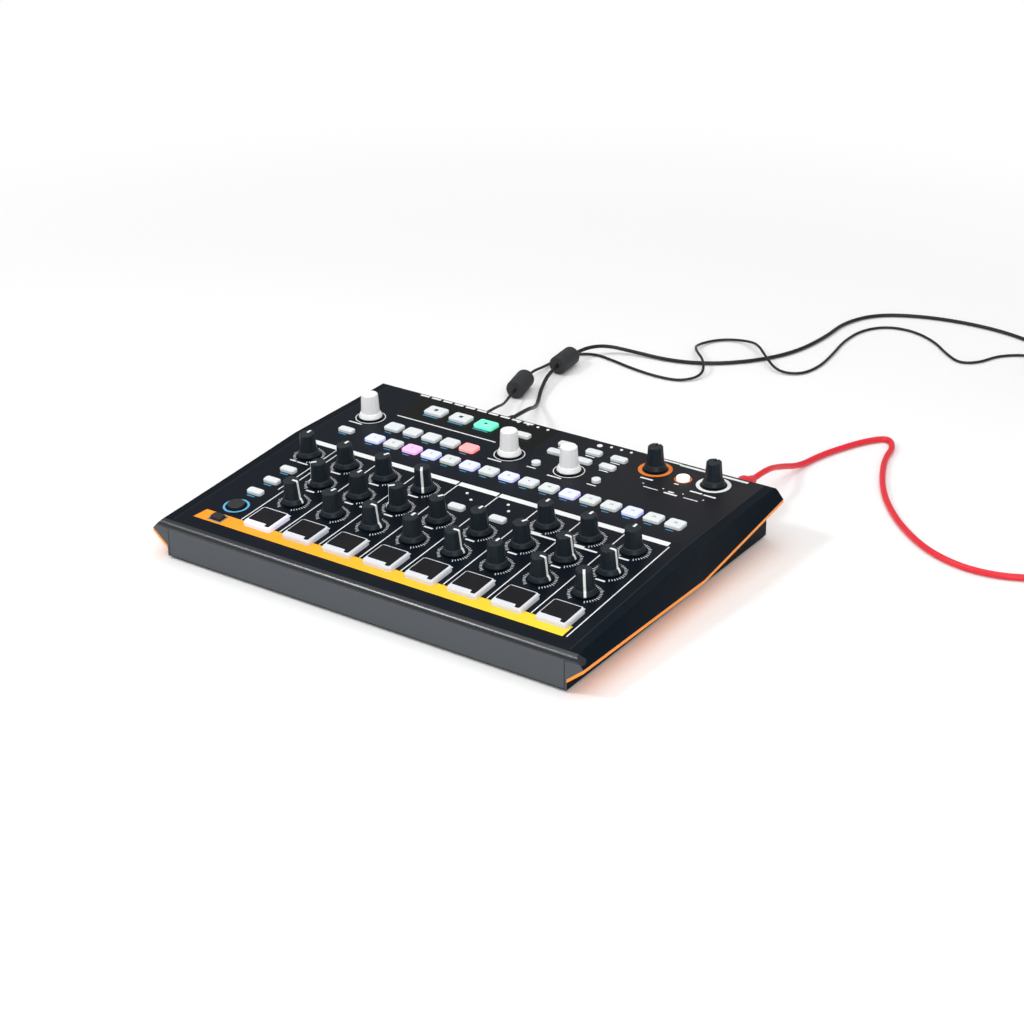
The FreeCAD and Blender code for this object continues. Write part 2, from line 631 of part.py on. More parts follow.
def many_sided(radius, z, sides):
    ring = []
    for i in range(sides + 1):
        angle = 2 * math.pi * (i % sides + 0.5) / sides
        ring.append(Vector(radius * math.cos(angle), radius * math.sin(angle), z))
    return Part.makePolygon(ring)


def make_knob(skirt_r, low_r, top_r, tall, notched=False):
    """Faceted tapering barrel on a round skirt, with a blind bore for its spindle."""
    base = KNOB_GAP
    outline = [(0, base), (skirt_r - 0.3, base), (skirt_r, base + 0.3), (skirt_r, base + SKIRT_EDGE),
               (low_r + 0.5, base + SKIRT_RISE), (low_r - 0.4, base + SKIRT_RISE + 0.5),
               (0, base + SKIRT_RISE + 0.5), (0, base)]
    skirt = Part.Face(Part.makePolygon([Vector(r, 0, z) for r, z in outline]))
    skirt = skirt.revolve(Vector(0, 0, 0), Vector(0, 0, 1), 360)
    top = base + tall
    rings = [many_sided(low_r, base + 1.5, BARREL_SIDES), many_sided(top_r, top - 0.5, BARREL_SIDES),
             many_sided(top_r - 0.5, top, BARREL_SIDES)]
    barrel = Part.makeLoft(rings, True, True)
    knob = skirt.fuse(barrel).removeSplitter()
    knob = knob.cut(rod(SPINDLE_R + SPINDLE_GRIP, base - 1, SPINDLE_TOP + 0.2))
    knob = knob.cut(rod(BUSH_RECESS_R, base - 1, base + BUSH_RECESS))
    if notched:
        knob = knob.cut(box(-NOTCH_WIDTH / 2, NOTCH_WIDTH / 2, 0.5, top_r + 1,
                            top - NOTCH_DEEP, top + 1))
    return knob


def make_spindle():
    return rod(SPINDLE_R, -SPINDLE_DEEP, SPINDLE_TOP)


def save_dials():
    black = make_knob(SKIRT_R, BARREL_LOW_R, BARREL_TOP_R, KNOB_TALL)
    notched = make_knob(SKIRT_R, BARREL_LOW_R, BARREL_TOP_R, KNOB_TALL, True)
    white = make_knob(WHITE_SKIRT_R, WHITE_LOW_R, WHITE_TOP_R, WHITE_TALL)
    for knob, dials in ((black, BLACK_DIALS), (notched, NOTCHED_DIALS), (white, WHITE_DIALS)):
        for name, x, distance, turn in dials:
            save(name, at(knob, x, distance, turn), at(make_spindle(), x, distance))


# Buttons and pads

def flange_block(width, depth, corner):
    low = -SHEET - CAP_GAP - FLANGE_THICK
    return rounded_block(width + 2 * FLANGE, depth + 2 * FLANGE, low, low + FLANGE_THICK,
                         corner + FLANGE)


def stem(travel):
    """Stem that stops just above its switch when the cap is pressed home."""
    low = BOARD_TOP + SWITCH_TALL + SWITCH_REST + travel
    return rod(STEM_R, low, -SHEET)


def make_cap(size, corner):
    width, depth = size
    low = -SHEET - CAP_GAP - FLANGE_THICK
    skirt = rounded_block(width, depth, low, CAP_PROUD - 0.5, corner)
    crown = rounded_block(width, depth, CAP_PROUD - 0.5, CAP_PROUD, corner, 0.4)
    body = skirt.fuse(crown).fuse(flange_block(width, depth, corner)).fuse(stem(BUTTON_TRAVEL))
    return body.removeSplitter()


def make_round_cap(radius):
    low = -SHEET - CAP_GAP - FLANGE_THICK
    body = rod(radius, low, CAP_PROUD)
    rim = [e for e in body.Edges if abs(e.CenterOfMass.z - CAP_PROUD) < 0.01 and len(e.Vertexes) == 1]
    body = body.makeFillet(0.5, rim)
    flange = rod(radius + FLANGE, low, low + FLANGE_THICK)
    return body.fuse(flange).fuse(stem(BUTTON_TRAVEL)).removeSplitter()


def make_pad():
    low = -SHEET - CAP_GAP - FLANGE_THICK
    skirt = rounded_block(PAD_SIDE, PAD_SIDE, low, PAD_PROUD - 0.8, PAD_ROUND)
    crown = rounded_block(PAD_SIDE, PAD_SIDE, PAD_PROUD - 0.8, PAD_PROUD, PAD_ROUND, 0.5)
    foot_low = BOARD_TOP + SWITCH_TALL + SWITCH_REST + PAD_TRAVEL
    foot = rounded_block(PAD_STEM, PAD_STEM, foot_low, low, PAD_ROUND)
    flange = flange_block(PAD_SIDE, PAD_SIDE, PAD_ROUND)
    return skirt.fuse(crown).fuse(flange).fuse(foot).removeSplitter()


def save_buttons():
    step_cap = make_cap(STEP_CAP, CAP_ROUND)
    transport_cap = make_cap(TRANSPORT_CAP, CAP_ROUND)
    oblong_cap = make_cap(OBLONG_CAP, CAP_ROUND)
    save("step_buttons", *[at(step_cap, *place) for place in STEP_SPOTS])
    save("mode_buttons", *[at(step_cap, *place) for place in MODE_SPOTS])
    save("transport_buttons", *[at(transport_cap, *place) for place in TRANSPORT_SPOTS])
    rear = [at(oblong_cap, *place) for place in OBLONG_SPOTS if place[1] > KINK_AT]
    rear += [at(make_round_cap(ROUND_CAP_R), *place) for place in ROUND_SPOTS]
    rear.append(at(make_round_cap(LIT_CAP_R), *LIT_SPOT))
    front = [at(oblong_cap, *place) for place in OBLONG_SPOTS if place[1] < KINK_AT]
    front.append(at(make_round_cap(TAP_CAP_R), *TAP_SPOT))
    front.append(at(make_cap(SLOT_CAP, CAP_ROUND), *SLOT_SPOT))
    save("rear_function_buttons", *rear)
    save("front_function_buttons", *front)
    pad = make_pad()
    for index, place in enumerate(PAD_SPOTS):
        save("pad_%d" % (index + 1), at(pad, *place))


def make_switches():
    """Tact switches under the buttons and force sensors under the pads."""
    switch = box(-SWITCH_SIDE / 2, SWITCH_SIDE / 2, -SWITCH_SIDE / 2, SWITCH_SIDE / 2,
                 BOARD_TOP, BOARD_TOP + SWITCH_TALL)
    small = box(-SWITCH_SIDE / 2, SWITCH_SIDE / 2, -2.2, 2.2, BOARD_TOP, BOARD_TOP + SWITCH_TALL)
    sensor = box(-PAD_STEM / 2, PAD_STEM / 2, -PAD_STEM / 2, PAD_STEM / 2,
                 BOARD_TOP, BOARD_TOP + SWITCH_TALL)
    pieces = [at(switch, *place) for place in STEP_SPOTS + MODE_SPOTS + TRANSPORT_SPOTS]
    pieces += [at(small, *place) for place in OBLONG_SPOTS + ROUND_SPOTS]
    pieces += [at(small, *place) for place in (LIT_SPOT, TAP_SPOT, SLOT_SPOT)]
    pieces += [at(sensor, *place) for place in PAD_SPOTS]
    return pieces


def make_lamps():
    lamps = []
    lamp_low = BOARD_TOP
    for x, distance in LAMP_SPOTS:
        lamps.append(at(lamp(LAMP_R, lamp_low), x, distance))
    lamps.append(at(lamp(BEAT_LAMP_R, lamp_low), *BEAT_SPOT))
    return lamps


def lamp(radius, low):
    body = rod(radius - 0.1, low, LAMP_PROUD)
    rim = [e for e in body.Edges if abs(e.CenterOfMass.z - LAMP_PROUD) < 0.01
           and len(e.Vertexes) == 1]
    return body.makeFillet(0.3, rim)


# Rear sockets and power switch

def jack_socket(x, hole_r, nut_r):
    y1 = wall_face()
    y0 = y1 - REAR_WALL - SOCKET_BODY[1]
    width = max(SOCKET_BODY[0], 2 * nut_r)
    low = socket_level() - SOCKET_BODY[2] / 2
    body = box(x - width / 2, x + width / 2, y0, y1 - REAR_WALL, low, low + SOCKET_BODY[2])
    neck_r = nut_r - 1.0 if nut_r == NUT_R else nut_r - 1.6
    body = body.fuse(rear_rod(neck_r - 0.1, x, socket_level(), y1 - REAR_WALL, y1))
    body = body.fuse(rear_rod(nut_r, x, socket_level(), y1, y1 + NUT_PROUD))
    return body.cut(rear_rod(hole_r, x, socket_level(), y1 - JACK_DEEP, y1 + 3)).removeSplitter()


def usb_socket():
    y1 = wall_face()
    w, h = USB_SHELL
    half_w, half_h = w / 2 - SOCKET_FIT, h / 2 - SOCKET_FIT
    body = box(USB_AT - half_w, USB_AT + half_w, y1 - USB_BODY, y1, socket_level() - half_h,
               socket_level() + half_h)
    mouth = box(USB_AT - USB_MOUTH[0] / 2, USB_AT + USB_MOUTH[0] / 2, y1 - USB_DEEP, y1 + 1,
                socket_level() - USB_MOUTH[1] / 2, socket_level() + USB_MOUTH[1] / 2)
    tongue = box(USB_AT - TONGUE_HALF[0], USB_AT + TONGUE_HALF[0], y1 - USB_DEEP - 1, y1 - 1.0,
                 socket_level() - TONGUE_HALF[1], socket_level() + TONGUE_HALF[1])
    return body.cut(mouth).fuse(tongue).removeSplitter()


def power_socket():
    y1 = wall_face()
    low = socket_level() - SOCKET_BODY[2] / 2
    body = box(POWER_IN_AT - 5, POWER_IN_AT + 5, y1 - DC_BODY, y1 - REAR_WALL, low, low + 10.8)
    body = body.fuse(rear_rod(DC_R - SOCKET_FIT, POWER_IN_AT, socket_level(), y1 - REAR_WALL, y1))
    body = body.cut(rear_rod(DC_MOUTH_R, POWER_IN_AT, socket_level(), y1 - DC_DEEP, y1 + 1))
    pin = rear_rod(DC_PIN_R, POWER_IN_AT, socket_level(), y1 - DC_DEEP - 1, y1 - 1.5)
    return body.fuse(pin).removeSplitter()


def switch_frame():
    y1 = wall_face()
    w, h = ROCKER[0] + ROCKER_RIM, ROCKER[1] + ROCKER_RIM
    half_w, half_h = w / 2 - SOCKET_FIT, h / 2 - SOCKET_FIT
    frame = box(SWITCH_AT - half_w, SWITCH_AT + half_w, y1 - ROCKER_FRAME, y1,
                socket_level() - half_h, socket_level() + half_h)
    well = box(SWITCH_AT - ROCKER[0] / 2 - ROCKER_GAP, SWITCH_AT + ROCKER[0] / 2 + ROCKER_GAP,
               y1 - ROCKER_WELL, y1 + 1, socket_level() - ROCKER[1] / 2 - ROCKER_GAP,
               socket_level() + ROCKER[1] / 2 + ROCKER_GAP)
    pivot = Part.makeCylinder(ROCKER_PIN_R, h - 2, Vector(SWITCH_AT, y1 - ROCKER_PIN_DEEP,
                              socket_level() - h / 2 + 1), Vector(0, 0, 1))
    return frame.cut(well).fuse(pivot).removeSplitter()


def make_rocker():
    """Rocker of the power switch, turning on an upright pin inside its frame."""
    y1 = wall_face()
    h = ROCKER[1]
    pivot_y = y1 - ROCKER_PIN_DEEP
    reach = ROCKER[0] / 2 - 0.5
    crown = ROCKER_CROWN
    points = [(-reach, crown + 1.3), (0.0, crown - 0.2), (reach, crown), (reach - 1.0, 0.0),
              (2.4, -2.4), (-2.4, -2.4), (-reach + 1.0, 0.0)]
    place = [Vector(SWITCH_AT + x, pivot_y + y, socket_level() - h / 2) for x, y in points]
    body = Part.Face(Part.makePolygon(place + place[:1])).extrude(Vector(0, 0, h))
    bore = Part.makeCylinder(ROCKER_PIN_R + SPINDLE_RUN, h + 2, Vector(SWITCH_AT, pivot_y,
                             socket_level() - h / 2 - 1), Vector(0, 0, 1))
    return body.cut(bore)


def make_sockets():
    sockets = [jack_socket(x, JACK_SMALL_R, NUT_R) for x in SMALL_JACKS]
    sockets.append(jack_socket(AUDIO_OUT_AT, JACK_LARGE_R, LARGE_NUT_R))
    sockets.append(usb_socket())
    sockets.append(power_socket())
    return sockets


# Leads

def ground(point):
    return Vector(point[0], behind(DEPTH + point[1]), point[2])


def from_socket(x, route):
    """Route whose first, straight run stands square behind its socket."""
    start = [(x, distance, socket_level()) for _, distance, _ in route[:2]]
    return tuple(start) + route[2:]


def lead_tube(name, route, diameter):
    """Tube of straight runs joined by tangent arcs; prints its least radius."""
    points = [ground(p) for p in route]
    edges = []
    last = points[0]
    length = 0.0
    radii = []
    for before, here, after in zip(points, points[1:], points[2:]):
        a = (before - here)
        b = (after - here)
        run = min(a.Length, b.Length)
        half_turn = (math.pi - a.getAngle(b)) / 2
        radius = BEND_SHARE * run / math.tan(half_turn)
        radii.append(radius)
        a.normalize()
        b.normalize()
        start = here + a * (BEND_SHARE * run)
        stop = here + b * (BEND_SHARE * run)
        middle_way = (a + b).normalize()
        middle = here + middle_way * (radius / math.cos(half_turn) - radius)
        edges.append(Part.LineSegment(last, start).toShape())
        edges.append(Part.Arc(start, middle, stop).toShape())
        length += (start - last).Length + 2 * half_turn * radius
        last = stop
    edges.append(Part.LineSegment(last, points[-1]).toShape())
    length += (points[-1] - last).Length
    path = Part.Wire(edges)
    along = (points[1] - points[0]).normalize()
    ring = Part.Wire(Part.makeCircle(diameter / 2, points[0], along))
    tube = path.makePipeShell([ring], True, False)
    expected = math.pi * diameter ** 2 / 4 * length
    print("%s length %.0f least radius %.1f volume ratio %.4f" % (
        name, length, min(radii), tube.Volume / expected))
    print("   radii", " ".join("%.0f" % r for r in radii))
    return tube


def coil_centre(coil, route, diameter):
    """Centre of the coil that the end of a route runs into, and its outer radius."""
    outer = coil[0] + coil[1] * diameter / 2
    before = ground(route[-2])
    end = ground(route[-1])
    way = Vector(end.x - before.x, end.y - before.y, 0).normalize()
    return end + way * (outer + COIL_GAP), outer


def make_coil(coil, route, diameter):
    """Closed solid with the outer shape of a neat coil lying on the surface."""
    middle_r, across, layers = coil
    half = across * diameter / 2
    tall = layers * diameter * COIL_PACKING
    centre, _ = coil_centre(coil, route, diameter)
    ring = rod(middle_r + half, FLOOR_GAP / 2, tall, centre.x, centre.y)
    ring = ring.cut(rod(middle_r - half, -1, tall + 1, centre.x, centre.y))
    rims = [e for e in ring.Edges if len(e.Vertexes) == 1 and abs(e.CenterOfMass.z - tall) < 0.01]
    return ring.makeFillet(diameter * COIL_ROUND, rims)


def make_ferrite(before, after, diameter):
    """Round clamp-on core whose bore holds the lead on its straight stretch."""
    a = ground(before)
    b = ground(after)
    along = (b - a).normalize()
    start = (a + b) * 0.5 - along * (FERRITE_LONG / 2)
    core = Part.makeCylinder(FERRITE_R, FERRITE_LONG, start, along)
    core = core.makeFillet(FERRITE_ROUND, [e for e in core.Edges if len(e.Vertexes) == 1])
    return core.cut(Part.makeCylinder(diameter / 2 + FERRITE_GAP, FERRITE_LONG + 2,
                                      start - along, along))


def make_audio_plug():
    """Large jack plug standing in the audio output, with its boot."""
    y1 = wall_face()
    level = socket_level()
    tip = rear_rod(JACK_LARGE_R - 0.1, AUDIO_OUT_AT, level, y1 - JACK_DEEP + 0.5, y1 + NUT_PROUD)
    shell_r, shell_end = AUDIO_SHELL
    shell = rear_rod(shell_r, AUDIO_OUT_AT, level, y1 + NUT_PROUD + 0.1, y1 + shell_end)
    neck = rear_rod(AUDIO_NECK_R, AUDIO_OUT_AT, level, y1, y1 + 4)
    boot = Part.makeCone(AUDIO_BOOT_R, AUDIO_DIA / 2 + BOOT_WALL,
                         behind(DEPTH + AUDIO_ROUTE[0][1]) - (y1 + shell_end),
                         Vector(AUDIO_OUT_AT, y1 + shell_end, level), Vector(0, 1, 0))
    return tip.fuse(neck).fuse(shell).fuse(boot).removeSplitter()


def make_usb_plug():
    y1 = wall_face()
    level = socket_level()
    half_w, half_h = USB_CORE_HALF
    core = box(USB_AT - half_w, USB_AT + half_w, y1 - USB_DEEP + 1.0, y1 + 2,
               level - half_h, level + half_h)
    half_w, half_h = USB_CORE_BORE
    core = core.cut(box(USB_AT - half_w, USB_AT + half_w, y1 - USB_DEEP, y1 + 1,
                        level - half_h, level + half_h))
    half_w, half_h = USB_GRIP_HALF
    near, far = USB_GRIP
    shell = box(USB_AT - half_w, USB_AT + half_w, y1 + near, y1 + far, level - half_h, level + half_h)
    middle = y1 + (near + far) / 2
    long_edges = [e for e in shell.Edges if abs(e.CenterOfMass.y - middle) < 0.1
                  and abs(e.CenterOfMass.x - USB_AT) > half_w - 0.1
                  and abs(e.CenterOfMass.z - level) > half_h - 0.1]
    shell = shell.makeFillet(USB_GRIP_ROUND, long_edges)
    boot = Part.makeCone(USB_BOOT_R, USB_DIA / 2 + BOOT_WALL,
                         behind(DEPTH + USB_ROUTE[0][1]) - (y1 + far),
                         Vector(USB_AT, y1 + far, level), Vector(0, 1, 0))
    return core.fuse(shell).fuse(boot).removeSplitter()


def make_power_plug():
    y1 = wall_face()
    level = socket_level()
    barrel = rear_rod(DC_MOUTH_R - 0.2, POWER_IN_AT, level, y1 - DC_DEEP + 0.6, y1 + 2)
    barrel = barrel.cut(rear_rod(POWER_BARREL_BORE, POWER_IN_AT, level, y1 - DC_DEEP, y1))
    shell_r, near, far = POWER_SHELL
    shell = rear_rod(shell_r, POWER_IN_AT, level, y1 + near, y1 + far)
    boot = Part.makeCone(POWER_BOOT_R, POWER_DIA / 2 + BOOT_WALL,
                         behind(DEPTH + POWER_ROUTE[0][1]) - (y1 + far),
                         Vector(POWER_IN_AT, y1 + far, level), Vector(0, 1, 0))
    return barrel.fuse(shell).fuse(boot).removeSplitter()


def coil_side(coil, route, diameter, degrees):
    """Point on a coil's outer edge, at an angle from +X."""
    centre, outer = coil_centre(coil, route, diameter)
    angle = math.radians(degrees)
    return centre.x + outer * math.cos(angle), centre.y + outer * math.sin(angle)


def make_far_plugs():
    """Far ends beside their coils: a jack plug, a flat computer plug, a mains adapter."""
    x, y = coil_side(AUDIO_COIL, AUDIO_ROUTE, AUDIO_DIA, 90)
    grip_r, grip_long, tip_r, tip_long = FAR_JACK
    rest = Vector(x, y + grip_r, grip_r + FLOOR_GAP)
    jack = Part.makeCylinder(grip_r, grip_long, rest, Vector(-1, 0, 0))
    jack = jack.fuse(Part.makeCylinder(tip_r, tip_long, rest - Vector(grip_long - 1, 0, 0),
                                       Vector(-1, 0, 0)))
    x, y = coil_side(USB_COIL, USB_ROUTE, USB_DIA, 90)
    long, wide, low, high = FAR_USB_GRIP
    plug = box(x - long, x, y, y + wide, low, high)
    tip_end, near, far, low, high = FAR_USB_TIP
    plug = plug.fuse(box(x - tip_end, x - long + 1, y + near, y + far, low, high))
    x, y = coil_side(POWER_COIL, POWER_ROUTE, POWER_DIA, 0)
    wide, half_long, low, high = ADAPTER
    middle = (low + high) / 2
    brick = box(x, x + wide, y - half_long, y + half_long, low, high)
    brick = brick.makeFillet(ADAPTER_ROUND, [e for e in brick.Edges
                                             if abs(e.CenterOfMass.z - middle) < 0.1])
    pin_r, pin_long, pin_x, pin_step = ADAPTER_PIN
    for step in (-pin_step, pin_step):
        start = Vector(x + pin_x + step, y - half_long + 1, middle)
        brick = brick.fuse(Part.makeCylinder(pin_r, pin_long, start, Vector(0, -1, 0)))
    return [jack.removeSplitter(), plug.removeSplitter(), brick.removeSplitter()]


def save_leads():
    save("audio_lead", lead_tube("audio_lead", from_socket(AUDIO_OUT_AT, AUDIO_ROUTE), AUDIO_DIA))
    save("usb_lead", lead_tube("usb_lead", from_socket(USB_AT, USB_ROUTE), USB_DIA))
    save("power_lead", lead_tube("power_lead", from_socket(POWER_IN_AT, POWER_ROUTE), POWER_DIA))
    coils = [make_coil(AUDIO_COIL, AUDIO_ROUTE, AUDIO_DIA),
             make_coil(USB_COIL, USB_ROUTE, USB_DIA),
             make_coil(POWER_COIL, POWER_ROUTE, POWER_DIA)]
    save("lead_coils", *coils)
    save("lead_fittings", make_audio_plug(), make_usb_plug(), make_power_plug(),
         make_ferrite(USB_ROUTE[5], USB_ROUTE[6], USB_DIA),
         make_ferrite(POWER_ROUTE[3], POWER_ROUTE[4], POWER_DIA))
    save("far_plugs", *make_far_plugs())


os.makedirs("parts", exist_ok=True)
cheek = make_cheek()
liner = make_liner()
save("top_panel", make_top_panel())
save("base_tray", make_base_tray())
save("right_cheek", cheek)
save("left_cheek", mirrored(cheek))
save("cheek_liners", liner, mirrored(liner))
save("rubber_feet", *make_feet())
save("screws", *make_screws())
save("circuit_boards", *(make_boards() + [make_rear_board()]))
save("potentiometers", *make_pots())
save("switches", *make_switches())
save("lamps", *make_lamps())
save("rear_sockets", *(make_sockets() + [switch_frame()]))
save("power_rocker", make_rocker())
save_dials()
save_buttons()
save_leads()
print("nodes", len(os.listdir("parts")))
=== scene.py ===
"""Studio scene of a desktop drum machine, laid out as an add-on.

Each operator dresses one group of pieces. Lengths inside the file are millimetres
on the panel, given as (x, distance from the front edge), unless a name says metres.
"""

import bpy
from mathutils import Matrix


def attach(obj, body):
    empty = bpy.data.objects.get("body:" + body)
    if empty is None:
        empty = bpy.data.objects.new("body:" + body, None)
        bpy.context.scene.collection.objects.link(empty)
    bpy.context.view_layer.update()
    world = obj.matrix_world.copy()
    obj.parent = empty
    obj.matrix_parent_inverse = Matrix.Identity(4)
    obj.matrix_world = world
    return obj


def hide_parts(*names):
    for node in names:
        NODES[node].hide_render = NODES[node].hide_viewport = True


bl_info = {
    "name": "Drum machine scene",
    "version": (1, 0, 0),
    "blender": (4, 5, 0),
    "location": "View3D > Sidebar > Drum machine",
    "description": "Builds the looks of a desktop drum machine around its fixed frame",
    "category": "Object",
}

import math

import bmesh
import bpy
from mathutils import Matrix, Vector

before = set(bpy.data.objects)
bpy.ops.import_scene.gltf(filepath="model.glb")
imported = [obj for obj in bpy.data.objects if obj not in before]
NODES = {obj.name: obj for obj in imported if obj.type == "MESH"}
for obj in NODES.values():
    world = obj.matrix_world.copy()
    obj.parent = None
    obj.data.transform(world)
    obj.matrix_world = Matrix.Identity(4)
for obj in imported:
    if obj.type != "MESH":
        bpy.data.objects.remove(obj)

MM = 0.001
DEPTH = 227.0
PANEL_HALF = 145.3
FOOT_HEIGHT = 1.5
FRONT_BEND = 4.5
FRONT_HEIGHT = 22.3
KINK_AT = 131.0
KINK_HEIGHT = 32.7
REAR_HEIGHT = 34.5
REAR_WALL = 1.5
FRONT_SLOPE = (KINK_HEIGHT - FRONT_HEIGHT) / KINK_AT
REAR_SLOPE = (REAR_HEIGHT - KINK_HEIGHT) / (DEPTH - KINK_AT)

COLUMNS = [-93.0 + 30.6 * i for i in range(8)]
SIDE_COLUMN = -123.6
LEVEL_ROW = 58.2
TONE_ROW = 84.4
DECAY_ROW = 110.6
STEP_SPOTS = [(-100.2 + 15.1 * i, 149.8) for i in range(16)]
MODE_SPOTS = [(-100.2 + 15.1 * i, 170.6) for i in range(5)]
TRANSPORT_SPOTS = [(-91.6 + 20.3 * i, 205.4) for i in range(3)]
PAD_SPOTS = [(x + 0.8, 31.4) for x in COLUMNS]
LIT_SPOT = (98.4, 206.0)
TAP_SPOT = (-122.0, 37.4)
SLOT_SPOT = (-122.2, 20.4)

# Heights above the panel: foot of the print, signs on the buttons, black faces of the pads
PRINT_LOW = 0.005
SIGN_LOW = 1.99
SIGN_HIGH = 2.03
FACE_LOW = 2.9
FACE_HIGH = 3.12

LEVEL_TURNS = (90, 10, 92, 5, 88, 0, 95, 147)
TONE_TURNS = (-135, 8, -133, 30, 4, 28, 90, 92)
DECAY_TURNS = {0: 0, 1: 28, 2: 147, 5: 0, 6: 4, 7: -2}

POINTED_DIALS = []
for index, turn in enumerate(LEVEL_TURNS):
    POINTED_DIALS.append(("level_knob_%d" % (index + 1), COLUMNS[index], LEVEL_ROW, turn))
for index, turn in enumerate(TONE_TURNS):
    POINTED_DIALS.append(("tone_knob_%d" % (index + 1), COLUMNS[index], TONE_ROW, turn))
for index, turn in DECAY_TURNS.items():
    POINTED_DIALS.append(("decay_knob_%d" % (index + 1), COLUMNS[index], DECAY_ROW, turn))
POINTED_DIALS.append(("side_knob", SIDE_COLUMN, DECAY_ROW, -2))
NOTCHED_DIALS = [("drive_knob", 76.4, 209.0), ("volume_knob", 118.4, 209.0)]
ENCODERS = [("tempo_encoder", -124.6, 176.4), ("select_encoder", -13.9, 178.4),
            ("value_encoder", 31.6, 178.4)]

AUDIO_DIA = 4.0
USB_DIA = 2.8
POWER_DIA = 2.0
AUDIO_ROUTE = (
    (118.0, 262.0, 19.0), (118.0, 280.0, 19.0), (116.0, 304.0, 11.0), (117.0, 328.0, 2.1),
    (121.0, 352.0, 2.1), (129.0, 374.0, 2.1), (137.0, 391.0, 2.1), (147.0, 402.0, 2.1),
    (156.0, 390.0, 2.1), (159.0, 371.0, 2.1), (168.0, 348.0, 2.1), (179.0, 326.0, 2.1),
    (194.0, 304.0, 2.1), (214.0, 282.0, 2.1), (238.0, 263.0, 2.1), (264.0, 253.0, 2.1),
    (289.0, 254.0, 2.1), (310.0, 264.0, 2.1), (328.0, 278.0, 2.1),
)
USB_ROUTE = (
    (-66.0, 258.0, 19.0), (-66.0, 276.0, 19.0), (-75.0, 298.0, 10.0), (-88.0, 321.0, 2.4),
    (-99.0, 342.0, 4.6), (-107.0, 366.0, 7.1), (-112.0, 410.0, 7.1), (-103.0, 430.0, 7.1),
    (-82.0, 441.0, 2.2), (-52.0, 442.0, 1.5), (-24.0, 452.0, 1.5), (2.0, 476.0, 1.5),
    (19.0, 508.0, 1.5), (24.0, 548.0, 1.5), (22.0, 582.0, 1.5), (34.0, 611.0, 1.5),
    (62.0, 627.0, 1.5), (98.0, 634.0, 1.5), (133.0, 632.0, 1.5), (158.0, 624.0, 1.5),
    (178.0, 634.0, 1.5),
)
POWER_ROUTE = (
    (-86.0, 252.0, 19.0), (-86.0, 268.0, 19.0), (-95.0, 288.0, 11.0), (-105.0, 310.0, 7.1),
    (-118.0, 356.0, 7.1), (-122.0, 377.0, 2.4), (-123.0, 397.0, 1.1), (-119.0, 414.0, 1.1),
    (-106.0, 424.0, 1.1), (-87.0, 420.0, 1.1), (-65.0, 414.0, 1.1), (-42.0, 411.0, 1.1),
    (-24.0, 414.0, 1.1), (-15.0, 428.0, 2.6), (-23.0, 444.0, 7.0), (-40.0, 460.0, 7.0),
    (-50.0, 480.0, 2.0), (-42.0, 501.0, 1.1), (-24.0, 507.0, 2.0), (-6.0, 495.0, 7.0),
    (10.0, 477.0, 7.0), (26.0, 466.0, 2.0), (42.0, 472.0, 1.1), (47.0, 492.0, 1.1),
    (44.0, 520.0, 1.1), (39.0, 548.0, 1.1), (40.0, 576.0, 1.1), (52.0, 594.0, 1.1),
    (73.0, 597.0, 1.1), (96.0, 586.0, 1.1), (115.0, 567.0, 1.1), (130.0, 556.0, 1.1),
    (142.0, 565.0, 1.1), (148.0, 584.0, 1.1), (162.0, 596.0, 1.1), (180.0, 588.0, 1.1),
)
# Coils: middle radius, diameters across, turns
AUDIO_COIL = (33.0, 3, 8)
USB_COIL = (26.0, 2, 8)
POWER_COIL = (18.0, 3, 8)


class PanelSettings(bpy.types.PropertyGroup):
    """Sizes of the print on the panel, in metres."""

    rise: bpy.props.FloatProperty(
        name="Print rise",
        description="How far the printed ink stands above the paint",
        default=0.00006,
        min=0.00002,
        max=0.0003,
        precision=5,
        unit="LENGTH",
    )
    bar: bpy.props.FloatProperty(
        name="Bar width",
        description="Width of the thick white bars across the columns",
        default=0.0044,
        min=0.001,
        max=0.005,
        precision=4,
        unit="LENGTH",
    )
    line: bpy.props.FloatProperty(
        name="Line width",
        description="Width of the thin lines between the columns",
        default=0.00075,
        min=0.0002,
        max=0.002,
        precision=5,
        unit="LENGTH",
    )


class DialSettings(bpy.types.PropertyGroup):
    """Sizes of the white pointers on the dials, in metres."""

    pointer: bpy.props.FloatProperty(
        name="Pointer width",
        description="Width of the white pointer inlaid in each dial",
        default=0.0015,
        min=0.0005,
        max=0.003,
        precision=4,
        unit="LENGTH",
    )


class LeadSettings(bpy.types.PropertyGroup):
    """Real lengths of the three leads, in metres."""

    audio: bpy.props.FloatProperty(
        name="Audio lead",
        description="Whole length of the red audio lead",
        default=1.92,
        min=0.5,
        max=6.0,
        unit="LENGTH",
    )
    usb: bpy.props.FloatProperty(
        name="Computer lead",
        description="Whole length of the computer lead",
        default=1.73,
        min=0.5,
        max=6.0,
        unit="LENGTH",
    )
    power: bpy.props.FloatProperty(
        name="Power lead",
        description="Whole length of the power lead",
        default=1.57,
        min=0.5,
        max=6.0,
        unit="LENGTH",
    )


class StageSettings(bpy.types.PropertyGroup):
    """Camera lens and light levels."""

    lens: bpy.props.FloatProperty(
        name="Lens",
        description="Focal length of the camera on a 36 mm sensor, in millimetres",
        default=75.98,
        min=20.0,
        max=200.0,
    )
    key: bpy.props.FloatProperty(
        name="Top light",
        description="Power of the soft light overhead, in watts",
        default=15.0,
        min=0.0,
        max=200.0,
    )
    world: bpy.props.FloatProperty(
        name="Room light",
        description="Strength of the even light from all round",
        default=0.42,
        min=0.0,
        max=2.0,
    )


# Places on the panel

